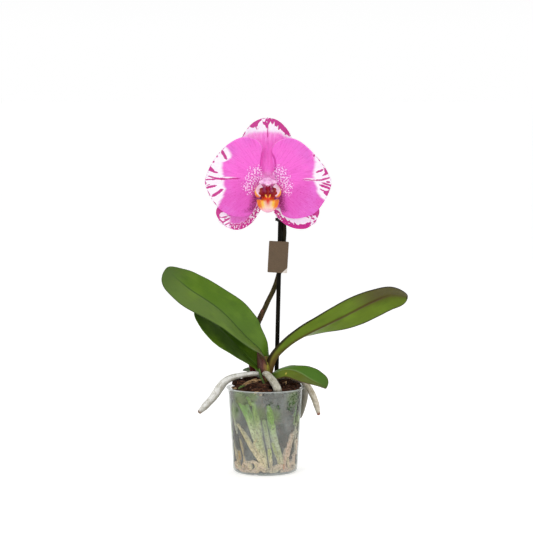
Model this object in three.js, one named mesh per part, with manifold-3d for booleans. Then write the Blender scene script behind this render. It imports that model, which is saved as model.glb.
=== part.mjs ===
// A moth orchid with one large flower in a clear plastic pot, in millimetres, +Z up.
// The origin is the middle of the pot's underside. The flower faces -Y, and +X is to the right of
// someone who faces it.
import * as THREE from "three";
import { mergeVertices } from "three/addons/utils/BufferGeometryUtils.js";
import Module from "manifold-3d";

const wasm = await Module();
wasm.setup();

// ---------------------------------------------------------------- driving dimensions
const GAP = 0.35; // clearance between pieces that touch

const POT = {
  height: 98,
  footRadius: 37,
  mouthRadius: 43,
  rimRadius: 45,
  rimThickness: 1.4,
  wall: 0.9,
  floor: 1.2,
  corner: 4,
};
const NOTCH = { count: 4, radius: 3.2, firstDeg: -20, depth: 9 };

const BED = { edgeHeight: 93, crest: 105, edgeRadius: 40, clearance: 0.5 }; // a low mound of bark

const CROWN = { radius: 7.5, topRadius: 3.5, bottom: 84, top: 134 };

const STAKE = { radius: 2.4, foot: [10.4, 12, 4], head: [17.5, 12, 300] };
const STEM_RADII = [3.2, 3, 2.8, 2.6, 2.5, 2.3];
const STEM_ROUTE = [
  [-5, 5, 100],
  [-12, 9, 110],
  [-16, 11, 122],
  [-17, 12, 138],
  [-13, 14, 156],
  [-6.5, 16, 175],
  [-1.2, 17, 186],
  [3.5, 17.8, 196.4],
  [9.7, 19, 209.1],
  [14.2, 20, 222],
  [17.8, 20, 236],
  [20.2, 17.8, 252],
  [21.4, 15.5, 267],
  [21.9, 14.6, 278],
  [20.8, 16.5, 289],
  [17, 20, 302],
];
const BRACT = { spans: [[125, 137], [173, 186], [233, 245]], thickness: 0.5 }; // heights on the stem

const TAG = {
  width: 22.8,
  height: 36.5,
  thickness: 0.7,
  corner: 1,
  leanDeg: 3.2,
  centre: [14.8, 7.3, 247.8],
};
const TAG_CLIP = { radius: 3.9, height: 5, middle: 250, pad: [9, 1, 8] };
const STEM_CLIP = { radius: 3.8, height: 5, middle: 291, tab: [4, 1.6, 3.6] };

// The flower has its own frame: a to the right, b up and c towards the viewer, from the base of the column.
const FLOWER_CENTRE = [3, -10, 338];
const RECEPTACLE = 3.8;
const TEPAL = 1.1; // thickness

// ---------------------------------------------------------------- small tools
const group = new THREE.Group();
const radians = THREE.MathUtils.degToRad;
const smoothstep = THREE.MathUtils.smoothstep;
const lerp = THREE.MathUtils.lerp;
const vec = (p) => new THREE.Vector3(...p);
const UP = new THREE.Vector3(0, 0, 1);

const curveThrough = (points) =>
  new THREE.CatmullRomCurve3(points.map(vec), false, "catmullrom", 0.5);

// A value that runs evenly through a short list as t goes from 0 to 1.
function along(values, t) {
  const x = THREE.MathUtils.clamp(t, 0, 1) * (values.length - 1);
  const i = Math.min(Math.floor(x), values.length - 2);
  return lerp(values[i], values[i + 1], x - i);
}

// A closed geometry, with its shared vertices merged, as a solid for cutting and joining.
function solidOf(geometry) {
  const bare = new THREE.BufferGeometry();
  bare.setAttribute("position", geometry.getAttribute("position"));
  bare.setIndex(geometry.index);
  const merged = mergeVertices(bare, 1e-3);
  const vertProperties = merged.attributes.position.array;
  const build = (triVerts) => new wasm.Manifold(new wasm.Mesh({ numProp: 3, vertProperties, triVerts }));
  const triVerts = new Uint32Array(merged.index.array);
  const solid = build(triVerts);
  return solid.volume() < 0 ? build(triVerts.toReversed()) : solid;
}

function geometryOf(solid) {
  const mesh = solid.getMesh();
  const geometry = new THREE.BufferGeometry();
  geometry.setAttribute("position", new THREE.BufferAttribute(mesh.vertProperties.slice(), 3));
  geometry.setIndex(new THREE.BufferAttribute(mesh.triVerts.slice(), 1));
  geometry.computeVertexNormals();
  return geometry;
}

// The largest of a solid's separate bodies: a cut near a thin end can leave a crumb behind.
function mainBody(solid) {
  const bodies = solid.decompose();
  return bodies.reduce((a, b) => (a.volume() > b.volume() ? a : b));
}

const cut = (solid, ...tools) => mainBody(tools.reduce((s, t) => s.subtract(t), solid));

function addPart(name, solid, material, parent = group) {
  const mesh = new THREE.Mesh(geometryOf(solid), material);
  mesh.name = name;
  parent.add(mesh);
  return mesh;
}

const finish = (color, roughness, extra = {}) =>
  new THREE.MeshStandardMaterial({ color, roughness, metalness: 0, ...extra });

const MATERIALS = {
  pot: finish(0xc9cec8, 0.25, { transparent: true, opacity: 0.4 }),
  bark: finish(0x4a3222, 0.9),
  root: finish(0xb9b8a6, 0.75),
  innerRoot: finish(0xa9b07e, 0.7),
  leaf: finish(0x4d7a26, 0.35),
  crown: finish(0x6a5233, 0.6),
  stem: finish(0x3a3222, 0.5),
  stake: finish(0x2b2824, 0.6),
  tag: finish(0x6b5a48, 0.6),
  clip: finish(0x24221e, 0.5),
  tepal: finish(0xee6fd0, 0.5),
  lip: finish(0xe8903c, 0.45),
  column: finish(0xf2b9de, 0.45),
};

// A solid of revolution about Z, from a profile of [radius, height] that starts and ends on the axis.
function turned(profile, segments = 40) {
  const points = profile.map(([r, z]) => new THREE.Vector2(r, z));
  return solidOf(new THREE.LatheGeometry(points, segments).rotateX(Math.PI / 2));
}

// A closed tube along a route, whose radius runs through the list of radii; grow makes it fatter all round.
function tube(route, radii, { sides = 8, steps = 12, grow = 0 } = {}) {
  const curve = curveThrough(route);
  const frames = curve.computeFrenetFrames(steps, false);
  const geometry = new THREE.CylinderGeometry(1, 1, 1, sides, steps);
  const p = geometry.attributes.position;
  for (let i = 0; i < p.count; i++) {
    const t = p.getY(i) + 0.5;
    const k = Math.round(t * steps);
    const r = along(radii, t) + grow;
    const point = curve
      .getPointAt(t)
      .addScaledVector(frames.normals[k], p.getX(i) * r)
      .addScaledVector(frames.binormals[k], p.getZ(i) * -r);
    const endShift = t === 0 ? -grow : t === 1 ? grow : 0;
    point.addScaledVector(frames.tangents[k], endShift);
    p.setXYZ(i, point.x, point.y, point.z);
  }
  return solidOf(geometry);
}

// A thin closed sheet: place(u, v, side) puts each point, with u from -1 to 1 across, v from 0 to 1 along
// and side 1 on the front face and -1 on the back face.
function sheet(across, lengthwise, place) {
  const geometry = new THREE.BoxGeometry(2, 1, 2, across, lengthwise, 1);
  const p = geometry.attributes.position;
  for (let i = 0; i < p.count; i++) {
    const point = place(p.getX(i), p.getY(i) + 0.5, p.getZ(i));
    p.setXYZ(i, point.x, point.y, point.z);
  }
  return solidOf(geometry);
}

// An uneven stone-like lump: an icosahedron of the given half sizes, turned and moved into place.
function lump(halfSizes, turnDeg, centre) {
  const geometry = new THREE.IcosahedronGeometry(1, 0)
    .scale(...halfSizes)
    .applyMatrix4(new THREE.Matrix4().makeRotationFromEuler(new THREE.Euler(...turnDeg.map(radians))))
    .translate(...centre);
  return solidOf(geometry);
}

// ---------------------------------------------------------------- pot
const outerRadius = (z) => lerp(POT.footRadius, POT.mouthRadius, z / POT.height);
const innerRadius = (z) => outerRadius(z) - POT.wall;

function cornerArc(radius, inset) {
  const steps = 3;
  return Array.from({ length: steps + 1 }, (_, i) => {
    const angle = (Math.PI / 2) * (i / steps);
    return [
      outerRadius(POT.corner) - POT.corner + (POT.corner - inset) * Math.sin(angle),
      radius - (POT.corner - inset) * Math.cos(angle),
    ];
  });
}

function makePot() {
  const underRim = POT.height - POT.rimThickness;
  const outside = [[0, 0], ...cornerArc(POT.corner, 0), [POT.mouthRadius, underRim]];
  const rim = [
    [POT.rimRadius, underRim],
    [POT.rimRadius, POT.height],
    [innerRadius(POT.height), POT.height],
  ];
  const insideCorner = cornerArc(POT.corner + (POT.floor - POT.wall), POT.wall).reverse();
  const inside = [...insideCorner, [0, POT.floor]];
  const shell = turned([...outside, ...rim, ...inside]);
  const notches = Array.from({ length: NOTCH.count }, (_, i) => {
    const angle = radians(NOTCH.firstDeg + (i * 360) / NOTCH.count);
    const middle = POT.footRadius - NOTCH.depth / 2 + 1;
    return solidOf(
      new THREE.CylinderGeometry(NOTCH.radius, NOTCH.radius, NOTCH.depth, 12)
        .translate(0, -middle, 0)
        .rotateZ(angle),
    );
  });
  return cut(shell, ...notches);
}

// ---------------------------------------------------------------- roots
// A root inside the pot follows the wall: its route is a list of [degrees round from the front, height].
function wallRoute({ places, radius }) {
  return places.map(([deg, z]) => {
    const reach = innerRadius(z) - radius - GAP;
    return [reach * Math.sin(radians(deg)), -reach * Math.cos(radians(deg)), z];
  });
}

const POT_ROOTS = [
  { places: [[-54, 87], [-38, 74], [-29, 62], [-22, 49], [-18, 39]], radius: 3.3 },
  { places: [[-60, 58], [-42, 48], [-26, 33], [-10, 18], [0, 8]], radius: 2.5 },
  { places: [[5, 83], [10, 67], [14, 50], [20, 38], [27, 28]], radius: 4 },
  { places: [[-21, 86], [-17, 72], [-12, 58], [-8, 45]], radius: 3 },
  { places: [[-20, 16], [-17, 11], [-14, 6]], radius: 1.7 },
  { places: [[7, 33], [9, 22], [11, 10]], radius: 2.2 },
  { places: [[58, 48], [45, 34], [39, 20], [40, 7]], radius: 2.8 },
  { places: [[80, 33], [64, 22], [57, 7]], radius: 2.3 },
  { places: [[-76, 40], [-68, 24], [-59, 7]], radius: 2.5 },
  { places: [[102, 84], [112, 62], [106, 40], [114, 14]], radius: 3.2 },
  { places: [[150, 80], [142, 56], [151, 34], [146, 12]], radius: 3.4 },
  { places: [[-160, 86], [-168, 60], [-156, 36], [-164, 10]], radius: 3 },
  { places: [[-112, 78], [-122, 54], [-110, 30], [-118, 10]], radius: 3.2 },
  { places: [[-50, 7], [-43, 13], [-34, 14], [-27, 7]], radius: 2.6 },
];
const potRootTube = (root, grow = 0) => {
  const radii = [0.75, 1, 1, 1, 0.7].map((share) => share * root.radius);
  return tube(wallRoute(root), radii, { sides: 7, steps: 7, grow });
};

const AERIAL_ROOTS = {
  aerial_root_left: {
    route: [
      [-4, -3, 113],
      [-11, -7, 114],
      [-22.2, -10, 112.9],
      [-33.7, -10, 110.8],
      [-42, -9.5, 107.6],
      [-48.3, -9, 103],
      [-52.8, -8.5, 97.2],
      [-58.2, -8, 89.3],
      [-65.2, -7, 81],
      [-77, -6, 68.3],
    ],
    radii: [2.8, 3.4, 3.6, 4, 4.3, 4.4, 4.4, 4.2, 3.9, 1.8],
  },
  aerial_root_front: {
    route: [
      [-2, -7, 113.5],
      [1.2, -12, 114.7],
      [6.4, -19, 110.2],
      [10.4, -25, 105.9],
      [13, -29.5, 101],
      [15, -32, 93.5],
      [16, -32.6, 85],
      [15, -32.5, 77],
    ],
    radii: [2.4, 3.5, 4, 4.3, 4.5, 4.3, 3.8, 2.4],
  },
  aerial_root_right: {
    route: [
      [6, -2, 106],
      [17, 1, 108],
      [29, 2, 108],
      [40, 2, 106],
      [47.8, 1, 100.5],
      [54, 0, 90],
      [58.5, -1, 78.5],
      [62, -2, 65],
    ],
    radii: [2.6, 3, 3.1, 3.2, 3.3, 3.3, 3, 1.4],
  },
  aerial_root_back: {
    route: [
      [19, 12, 97],
      [25, 14, 105],
      [32, 17, 108.5],
      [40, 18.6, 107.6],
      [45, 19.4, 102],
      [46.3, 19.8, 91],
      [45.4, 20.2, 79],
      [43.2, 21.3, 68],
      [40.6, 22.6, 58],
    ],
    radii: [2, 2.8, 3.2, 3.4, 3.6, 3.7, 3.5, 2.8, 1.6],
  },
  young_root: {
    route: [
      [-4.5, -8, 109],
      [-2, -12.5, 104],
      [0.5, -15.5, 98.5],
      [1.5, -17, 93],
    ],
    radii: [2, 1.9, 1.7, 1.2],
  },
};
const aerialTube = ({ route, radii }, grow = 0) => tube(route, radii, { sides: 8, steps: 12, grow });

// ---------------------------------------------------------------- crown, leaves
const crownSolid = (grow = 0) =>
  tube(
    [
      [0, 0, CROWN.bottom],
      [0, 0, 105],
      [0, 0, CROWN.top],
    ],
    [CROWN.radius, CROWN.radius, CROWN.topRadius],
    { sides: 14, steps: 4, grow },
  );

// A leaf grows along its midrib. roll turns the blade about the midrib, and fold lifts both halves into
// a channel. The half width rises from the base to its widest at `widest` and closes in a round tip.
const LEAVES = {
  leaf_upper_left: {
    midrib: [
      [0, -1, 126],
      [-7.6, -4, 140.6],
      [-22, -9, 153.8],
      [-35.3, -11, 167.6],
      [-45, -13, 181.3],
      [-55.3, -14.5, 191.1],
      [-69.6, -16, 200.9],
      [-86.8, -17, 214.6],
      [-102.6, -18, 225.3],
      [-117.6, -18, 234.6],
    ],
    baseWidth: 9,
    width: 30.5,
    widest: 0.3,
    tipPower: 2.8,
    roll: [44, 46, 49, 48, 47, 48, 48],
    fold: [32, 32, 28, 9, 5, 1, 0],
  },
  leaf_lower_left: {
    midrib: [
      [-2, 1, 112],
      [-9, 2, 120],
      [-18.3, 3, 129.3],
      [-29, 4, 141.2],
      [-40.6, 4, 154],
      [-52, 4, 165.6],
      [-63.6, 3, 177.4],
      [-79, 2, 194],
    ],
    baseWidth: 6,
    width: 25.2,
    widest: 0.55,
    tipPower: 2.4,
    roll: [36, 40, 44, 45, 45],
    fold: [35, 26, 10, 7, 5],
  },
  leaf_right: {
    midrib: [
      [6, -2, 112],
      [7.5, -3, 122],
      [10, -4, 130],
      [15, -4.5, 135.5],
      [24, -4, 142],
      [34, -3, 147.5],
      [46.8, -1.5, 155.5],
      [66.6, -1, 167],
      [88.7, 0, 179.2],
      [115, 1, 192.7],
      [129, 1, 199.8],
      [143, 1, 205.4],
      [155, 1, 205.4],
      [165, 0, 203],
    ],
    baseWidth: 8,
    width: 25,
    widest: 0.72,
    tipPower: 3,
    roll: [0, 15, 41, 48, 50, 45, 38],
    fold: [66, 52, 25, 5, -3, -13, -16],
  },
  leaf_small_right: {
    midrib: [
      [5, -5, 109],
      [14, -8, 116],
      [23.8, -11, 118.8],
      [31, -14, 118.3],
      [40.4, -18, 114],
      [49.8, -21, 108.8],
      [59.6, -23, 106],
      [71.2, -25, 101.4],
    ],
    baseWidth: 6,
    width: 17.2,
    widest: 0.62,
    tipPower: 2.2,
    roll: [-30, -31, -30, -28, -24, -22],
    fold: [0, -25, -6, 10, 20, 18],
  },
  leaf_small_back: {
    midrib: [
      [-3, 5, 105],
      [-11, 12, 112],
      [-18, 17, 115],
      [-26, 21, 114.5],
    ],
    baseWidth: 5,
    width: 8,
    widest: 0.5,
    tipPower: 2,
    roll: [10, 12, 14, 14],
    fold: [35, 14, 10, 8],
  },
};
const LEAF_THICKNESS = { base: 3, blade: 1.6, edge: 1 };

function halfWidth(leaf, t) {
  if (t < leaf.widest) return lerp(leaf.baseWidth, leaf.width, smoothstep(t, -0.05, leaf.widest));
  const past = (t - leaf.widest) / (1 - leaf.widest);
  return Math.max(leaf.width * Math.sqrt(1 - Math.min(past, 1) ** leaf.tipPower), 1.5);
}

function leafSolid(leaf, grow = 0) {
  const curve = curveThrough(leaf.midrib);
  const ridge = 0.12; // how soft the crease along the midrib is, as a share of the half width
  return sheet(6, 14, (u, even, side) => {
    const v = lerp(even, Math.sin((even * Math.PI) / 2), 0.6); // closer together towards the tip
    const tangent = curve.getTangentAt(v);
    const level = new THREE.Vector3().crossVectors(tangent, UP).normalize();
    const above = new THREE.Vector3().crossVectors(level, tangent);
    const roll = radians(along(leaf.roll, v));
    const lateral = level.clone().multiplyScalar(Math.cos(roll)).addScaledVector(above, Math.sin(roll));
    const normal = new THREE.Vector3().crossVectors(lateral, tangent);
    const fold = radians(along(leaf.fold, v));
    const w = halfWidth(leaf, v) + grow;
    const lift = (Math.hypot(u, ridge) - ridge) * w * Math.sin(fold);
    const blade = lerp(LEAF_THICKNESS.base, LEAF_THICKNESS.blade, smoothstep(v, 0, 0.3));
    const thick = lerp(blade, LEAF_THICKNESS.edge, u * u) / 2 + grow;
    return curve
      .getPointAt(v)
      .addScaledVector(tangent, v === 0 ? -grow : 0)
      .addScaledVector(lateral, u * w * Math.cos(fold))
      .addScaledVector(normal, lift + side * thick);
  });
}

// ---------------------------------------------------------------- bark
const bedTop = (r) => lerp(BED.crest, BED.edgeHeight, (Math.min(r, BED.edgeRadius) / BED.edgeRadius) ** 2);

function bedSolid(grow = 0) {
  const side = (z) => innerRadius(z) - BED.clearance + grow;
  const bottom = POT.floor + GAP;
  const lower = [
    [0, bottom],
    [side(0) - POT.corner, bottom],
    [side(POT.corner) - 1, POT.corner],
    [side(POT.corner * 2), POT.corner * 2],
  ];
  const crest = [side(BED.edgeHeight), 30, 18, 0].map((r) => [r, bedTop(r) + grow]);
  return turned([...lower, ...crest], 28);
}

const CHIPS = [
  { half: [6, 3.6, 3], turn: [10, 20, 15], place: [-29, -15], lift: 1.5 },
  { half: [8.5, 3, 2], turn: [0, -8, 6], place: [-17, -12], lift: 1.5 },
  { half: [9, 4.4, 3.2], turn: [5, -6, 8], place: [-9, -31], lift: 1 },
  { half: [6.5, 4.4, 3.6], turn: [20, 10, 30], place: [25, -24], lift: 1 },
  { half: [6, 4, 3.2], turn: [0, -14, -35], place: [30, -12], lift: 1 },
  { half: [7, 5, 3.5], turn: [0, 12, 60], place: [-29, 3], lift: 1 },
  { half: [8, 5, 3.6], turn: [8, 0, 20], place: [-12, 27], lift: 1 },
  { half: [7, 5, 3.4], turn: [0, 10, -40], place: [11, 30], lift: 1 },
];

// ---------------------------------------------------------------- stem, stake and tag
const stakeSolid = (grow = 0) =>
  tube([STAKE.foot, STAKE.head], [STAKE.radius, STAKE.radius], { sides: 10, steps: 1, grow });

// How far along a rising curve, from 0 to 1, a height is reached.
function fractionAt(curve, height) {
  let low = 0;
  let high = 1;
  while (high - low > 1e-4) {
    const middle = (low + high) / 2;
    if (curve.getPointAt(middle).z < height) low = middle;
    else high = middle;
  }
  return low;
}

// The stem with a clasping bract at each node.
function stemSolid(grow = 0) {
  const curve = curveThrough(STEM_ROUTE);
  const stem = tube(STEM_ROUTE, STEM_RADII, { sides: 8, steps: 22, grow });
  const bracts = BRACT.spans.map(([foot, top]) => {
    const places = [0, 0.5, 1].map((s) => lerp(fractionAt(curve, foot), fractionAt(curve, top), s));
    const route = places.map((t) => curve.getPointAt(t).toArray());
    const radii = places.map((t) => along(STEM_RADII, t) + BRACT.thickness);
    return tube(route, radii, { sides: 8, steps: 3, grow });
  });
  return bracts.reduce((whole, bract) => whole.add(bract), stem);
}

// The point of a rising route at a height.
function pointAt(route, height) {
  const curve = curveThrough(route);
  return curve.getPointAt(fractionAt(curve, height));
}

const uprightDisc = (radius, height, { x, y, z }) =>
  solidOf(new THREE.CylinderGeometry(radius, radius, height, 16).rotateX(Math.PI / 2).translate(x, y, z));

const block = (size, centre) => solidOf(new THREE.BoxGeometry(...size).translate(...centre));

function tagSolid() {
  const w = TAG.width / 2;
  const h = TAG.height / 2;
  const c = TAG.corner;
  const outline = new THREE.Shape();
  outline.moveTo(-w + c, -h);
  outline.lineTo(w - c, -h);
  outline.quadraticCurveTo(w, -h, w, -h + c);
  outline.lineTo(w, h - c);
  outline.quadraticCurveTo(w, h, w - c, h);
  outline.lineTo(-w + c, h);
  outline.quadraticCurveTo(-w, h, -w, h - c);
  outline.lineTo(-w, -h + c);
  outline.quadraticCurveTo(-w, -h, -w + c, -h);
  const settings = { depth: TAG.thickness, bevelEnabled: false, curveSegments: 3 };
  const card = new THREE.ExtrudeGeometry(outline, settings);
  return solidOf(card.translate(0, 0, -TAG.thickness / 2).rotateX(Math.PI / 2));
}

// A ring round the stake with a flat pad that carries the tag.
function tagClipSolid() {
  const ring = pointAt([STAKE.foot, STAKE.head], TAG_CLIP.middle);
  const back = TAG.centre[1] + TAG.thickness / 2 + GAP;
  const pad = block(TAG_CLIP.pad, [ring.x, back + TAG_CLIP.pad[1] / 2, ring.z]);
  return uprightDisc(TAG_CLIP.radius, TAG_CLIP.height, ring).add(pad);
}

// A band that holds the stem to the stake, with a thumb tab on its left.
function stemClipSolid() {
  const stake = pointAt([STAKE.foot, STAKE.head], STEM_CLIP.middle);
  const stem = pointAt(STEM_ROUTE, STEM_CLIP.middle);
  const tabX = stake.x - STEM_CLIP.radius - STEM_CLIP.tab[0] / 2 + 2;
  return uprightDisc(STEM_CLIP.radius, STEM_CLIP.height, stake)
    .add(uprightDisc(STEM_CLIP.radius, STEM_CLIP.height, stem))
    .add(block(STEM_CLIP.tab, [tabX, stake.y, stake.z]));
}

// ---------------------------------------------------------------- flower
// Each tepal lies between two edges that run from its base to its tip, as [a, b] points in the
// flower's frame.
const TEPALS = {
  petal_left: {
    upper: [
      [-1, 2.5], [-6, 9], [-8, 17], [-7, 27], [-6, 37], [-13, 45.5],
      [-28, 48.5], [-43, 42], [-56, 30], [-66, 15], [-71.5, 1],
    ],
    lower: [
      [-1, -2.5], [-7, -9], [-11, -19], [-14.5, -31], [-20, -40], [-33, -42.5],
      [-45, -40], [-56, -33], [-64.5, -22], [-69.5, -12], [-71.7, -5],
    ],
  },
  petal_right: {
    upper: [
      [1, 2.5], [6, 8], [8.5, 15], [7.5, 24], [3.5, 33], [10, 43],
      [24, 47.5], [38, 42.5], [53, 29], [65, 14], [71.5, 1],
    ],
    lower: [
      [1, -2.5], [7, -9], [11, -19], [13.5, -31], [17, -40.5], [28, -44.5],
      [42, -43], [55, -37], [65, -24], [71, -11], [72.5, -5],
    ],
  },
  dorsal_sepal: {
    upper: [
      [-2.5, 1], [-6, 10], [-13, 20], [-23, 31], [-29.5, 40],
      [-30, 47], [-25, 56], [-17, 64.5], [-8, 69], [-2, 70],
    ],
    lower: [
      [2.5, 1], [6, 10], [13, 20], [22, 31], [27.5, 40],
      [27, 48], [22, 57], [15, 64.5], [8, 68.6], [2, 70],
    ],
  },
  lateral_sepal_left: {
    upper: [
      [-2.5, 0.5], [-12, -4], [-24, -9], [-38, -15],
      [-50, -22], [-57.5, -31], [-59.5, -39], [-56.5, -47],
    ],
    lower: [
      [-0.5, -2.5], [-3, -14], [-6, -28], [-10, -38],
      [-19, -50.5], [-31, -57.5], [-43, -57.2], [-52, -52],
    ],
  },
  lateral_sepal_right: {
    upper: [
      [2.5, 0.5], [12, -4], [24, -9], [38, -15],
      [50, -22], [57, -30], [59, -38], [56, -46.5],
    ],
    lower: [
      [0.5, -2.5], [2.5, -14], [4, -28], [8, -40],
      [18, -50.5], [30, -56.2], [43, -56.8], [52, -52],
    ],
  },
};

// How far a tepal's middle surface stands towards the viewer.
function tepalDepth(name, a, b) {
  const r = Math.hypot(a, b);
  if (name.startsWith("petal")) return 2 + 4.5 * smoothstep(r, 3, 26) - 7 * (r / 73) ** 3;
  if (name === "dorsal_sepal") return -1.5 - 1.5 * smoothstep(r, 3, 20) - 5 * (r / 73) ** 2 - 0.006 * a * a;
  return -1.5 - 2.5 * smoothstep(r, 3, 20) - 4 * (r / 73) ** 2;
}

function tepalSolid(name, grow = 0) {
  const { upper, lower } = TEPALS[name];
  const flat = (points) => curveThrough(points.map(([a, b]) => [a, b, 0]));
  const edges = [flat(upper), flat(lower)];
  return sheet(8, 10, (u, v, side) => {
    const [p, q] = edges.map((e) => e.getPoint(v));
    const s = (1 + u) / 2;
    const a = lerp(q.x, p.x, s);
    const b = lerp(q.y, p.y, s);
    const thick = (TEPAL / 2) * lerp(1, 0.6, smoothstep(Math.abs(u), 0.6, 1)) + grow;
    return new THREE.Vector3(a, b, tepalDepth(name, a, b) + side * thick);
  });
}

// The lip is a cup of two side lobes that meets a shield-shaped middle lobe at its foot.
const LIP = {
  cupCentre: [0, -13.5, 14.5],
  cupHalf: [15, 11.5, 9],
  wall: 1.3,
  openDeg: 34, // how far from straight up each side lobe starts
  rimDeg: 140, // how far the side lobes close round the front, and how far they do at the foot
  footRimDeg: 100,
  midTop: -19.5,
  midTip: -36.2,
  midHalfWidth: 13,
  callus: { half: [4, 4, 4], centre: [0, -20, 13] },
  claw: { half: [3.2, 5, 5.5], centre: [0, -8.6, 4.5] },
};

function sideLobe(mirror) {
  const [ca, cb, cc] = LIP.cupCentre;
  return sheet(7, 6, (u, v, side) => {
    const turn = radians(lerp(90 - LIP.openDeg, -94, (u + 1) / 2));
    const low = smoothstep(-Math.sin(turn), 0, 1);
    const opening = radians(lerp(12, lerp(LIP.rimDeg, LIP.footRimDeg, low), v));
    const [ha, hb, hc] = LIP.cupHalf.map((h) => h - LIP.wall / 2 + (side * LIP.wall) / 2);
    return new THREE.Vector3(
      mirror * (ca + ha * Math.cos(turn) * Math.sin(opening)),
      cb + hb * Math.sin(turn) * Math.sin(opening),
      cc - hc * Math.cos(opening),
    );
  });
}

const ball = ({ half, centre }) =>
  solidOf(new THREE.SphereGeometry(1, 10, 8).scale(...half).translate(...centre));

function lipSolid() {
  const midLobe = sheet(6, 6, (u, v, side) => {
    const half = LIP.midHalfWidth * Math.sqrt(1 - 0.9 * v ** 2.4);
    const depth = LIP.cupCentre[2] - 1 + 5 * Math.sin(1.9 * v) - 3.5 * u * u;
    return new THREE.Vector3(u * half, lerp(LIP.midTop, LIP.midTip, v), depth + side * (LIP.wall / 2));
  });
  return [sideLobe(-1), midLobe, ball(LIP.callus), ball(LIP.claw)].reduce(
    (whole, piece) => whole.add(piece),
    sideLobe(1),
  );
}

const PEDICEL = {
  route: [
    [13.9, -35.6, -30.1],
    [13, -31.5, -31],
    [11.5, -20, -31],
    [7, -7, -25],
    [2, -0.5, -15],
    [0, 0, -7],
    [0, 0, 3],
  ],
  radii: [2, 2.1, 2.2, 2.4, 2.8, 3.4, RECEPTACLE],
};
const pedicelSolid = (grow = 0) =>
  tube(PEDICEL.route, PEDICEL.radii, { sides: 10, steps: 12, grow });

const COLUMN = { base: [0, 1, 3.4], tip: [0, -1.5, 14], radii: [3.6, 3.8] };
const ANTHER_CAP = { half: [3.4, 3.6, 3.4], centre: [0, -4, 16] };
const columnSolid = (grow = 0) =>
  tube([COLUMN.base, COLUMN.tip], COLUMN.radii, { sides: 10, steps: 1, grow });

// ---------------------------------------------------------------- assembly
const crownCutter = crownSolid(GAP);
const stemCutter = stemSolid(GAP);
const stakeCutter = stakeSolid(GAP);
const rootCutters = Object.fromEntries(
  Object.entries(AERIAL_ROOTS).map(([name, root]) => [name, aerialTube(root, GAP)]),
);

addPart("pot", makePot(), MATERIALS.pot);

const bed = cut(
  bedSolid(),
  crownCutter,
  stakeCutter,
  stemCutter,
  ...POT_ROOTS.map((root) => potRootTube(root, GAP)),
  ...Object.values(rootCutters),
);
addPart("bark_bed", bed, MATERIALS.bark);

POT_ROOTS.forEach((root, i) => addPart(`pot_root_${i + 1}`, potRootTube(root), MATERIALS.innerRoot));

addPart("crown", crownSolid(), MATERIALS.crown);

const leafCutters = [];
for (const [name, leaf] of Object.entries(LEAVES)) {
  const tools = [crownCutter, stakeCutter, stemCutter, ...Object.values(rootCutters), ...leafCutters];
  addPart(name, cut(leafSolid(leaf), ...tools), MATERIALS.leaf);
  leafCutters.push(leafSolid(leaf, GAP));
}

for (const [name, root] of Object.entries(AERIAL_ROOTS))
  addPart(name, cut(aerialTube(root), crownCutter), MATERIALS.root);

const chipTools = [
  bedSolid(GAP),
  crownCutter,
  stakeCutter,
  stemCutter,
  ...Object.values(rootCutters),
  ...leafCutters,
];
CHIPS.forEach(({ half, turn, place: [x, y], lift }, i) => {
  const chip = lump(half, turn, [x, y, bedTop(Math.hypot(x, y)) + lift]);
  addPart(`bark_chip_${i + 1}`, cut(chip, ...chipTools), MATERIALS.bark);
});

addPart("stake", stakeSolid(), MATERIALS.stake);
addPart("flower_stem", cut(stemSolid(), crownCutter), MATERIALS.stem);
addPart("stem_clip", cut(stemClipSolid(), stakeCutter, stemCutter), MATERIALS.clip);
addPart("tag_clip", cut(tagClipSolid(), stakeCutter), MATERIALS.clip);

const tag = addPart("tag", tagSolid(), MATERIALS.tag);
tag.position.set(...TAG.centre);
tag.rotation.y = radians(TAG.leanDeg);

const flower = new THREE.Group();
flower.position.set(...FLOWER_CENTRE);
flower.rotation.x = Math.PI / 2;
group.add(flower);

const pedicelCutter = pedicelSolid(GAP);
const columnCutter = columnSolid(GAP);
addPart("pedicel", pedicelSolid(), MATERIALS.stem, flower);
for (const name of Object.keys(TEPALS))
  addPart(name, cut(tepalSolid(name), pedicelCutter, columnCutter), MATERIALS.tepal, flower);
addPart("lip", cut(lipSolid(), pedicelCutter, columnCutter), MATERIALS.lip, flower);
addPart("column", cut(columnSolid(), pedicelCutter), MATERIALS.column, flower);
addPart("anther_cap", cut(ball(ANTHER_CAP), columnCutter), MATERIALS.column, flower);

export default group;
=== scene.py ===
import math
import random

import bpy
import numpy as np
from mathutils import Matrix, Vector, noise


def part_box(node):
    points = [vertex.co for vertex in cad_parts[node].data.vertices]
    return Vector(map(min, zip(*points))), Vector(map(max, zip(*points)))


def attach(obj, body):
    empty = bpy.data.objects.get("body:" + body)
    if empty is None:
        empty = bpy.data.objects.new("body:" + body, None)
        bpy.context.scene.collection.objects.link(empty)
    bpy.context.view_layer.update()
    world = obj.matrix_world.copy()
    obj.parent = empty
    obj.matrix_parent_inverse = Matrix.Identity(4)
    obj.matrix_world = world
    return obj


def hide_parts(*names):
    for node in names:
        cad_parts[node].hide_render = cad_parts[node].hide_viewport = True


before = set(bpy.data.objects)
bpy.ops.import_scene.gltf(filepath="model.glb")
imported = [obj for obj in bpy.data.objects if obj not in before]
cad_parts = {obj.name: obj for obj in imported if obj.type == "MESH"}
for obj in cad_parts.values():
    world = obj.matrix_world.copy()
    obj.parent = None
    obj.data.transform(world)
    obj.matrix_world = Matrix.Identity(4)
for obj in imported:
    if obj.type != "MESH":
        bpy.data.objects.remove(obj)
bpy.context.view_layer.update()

MM = 0.001  # shapes are worked out in millimetres and stored in metres
GAP = 0.35  # what pieces that carry each other keep between them


# ------------------------------------------------------------------ numbers
def lerp(a, b, t):
    return a + (b - a) * t


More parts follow.
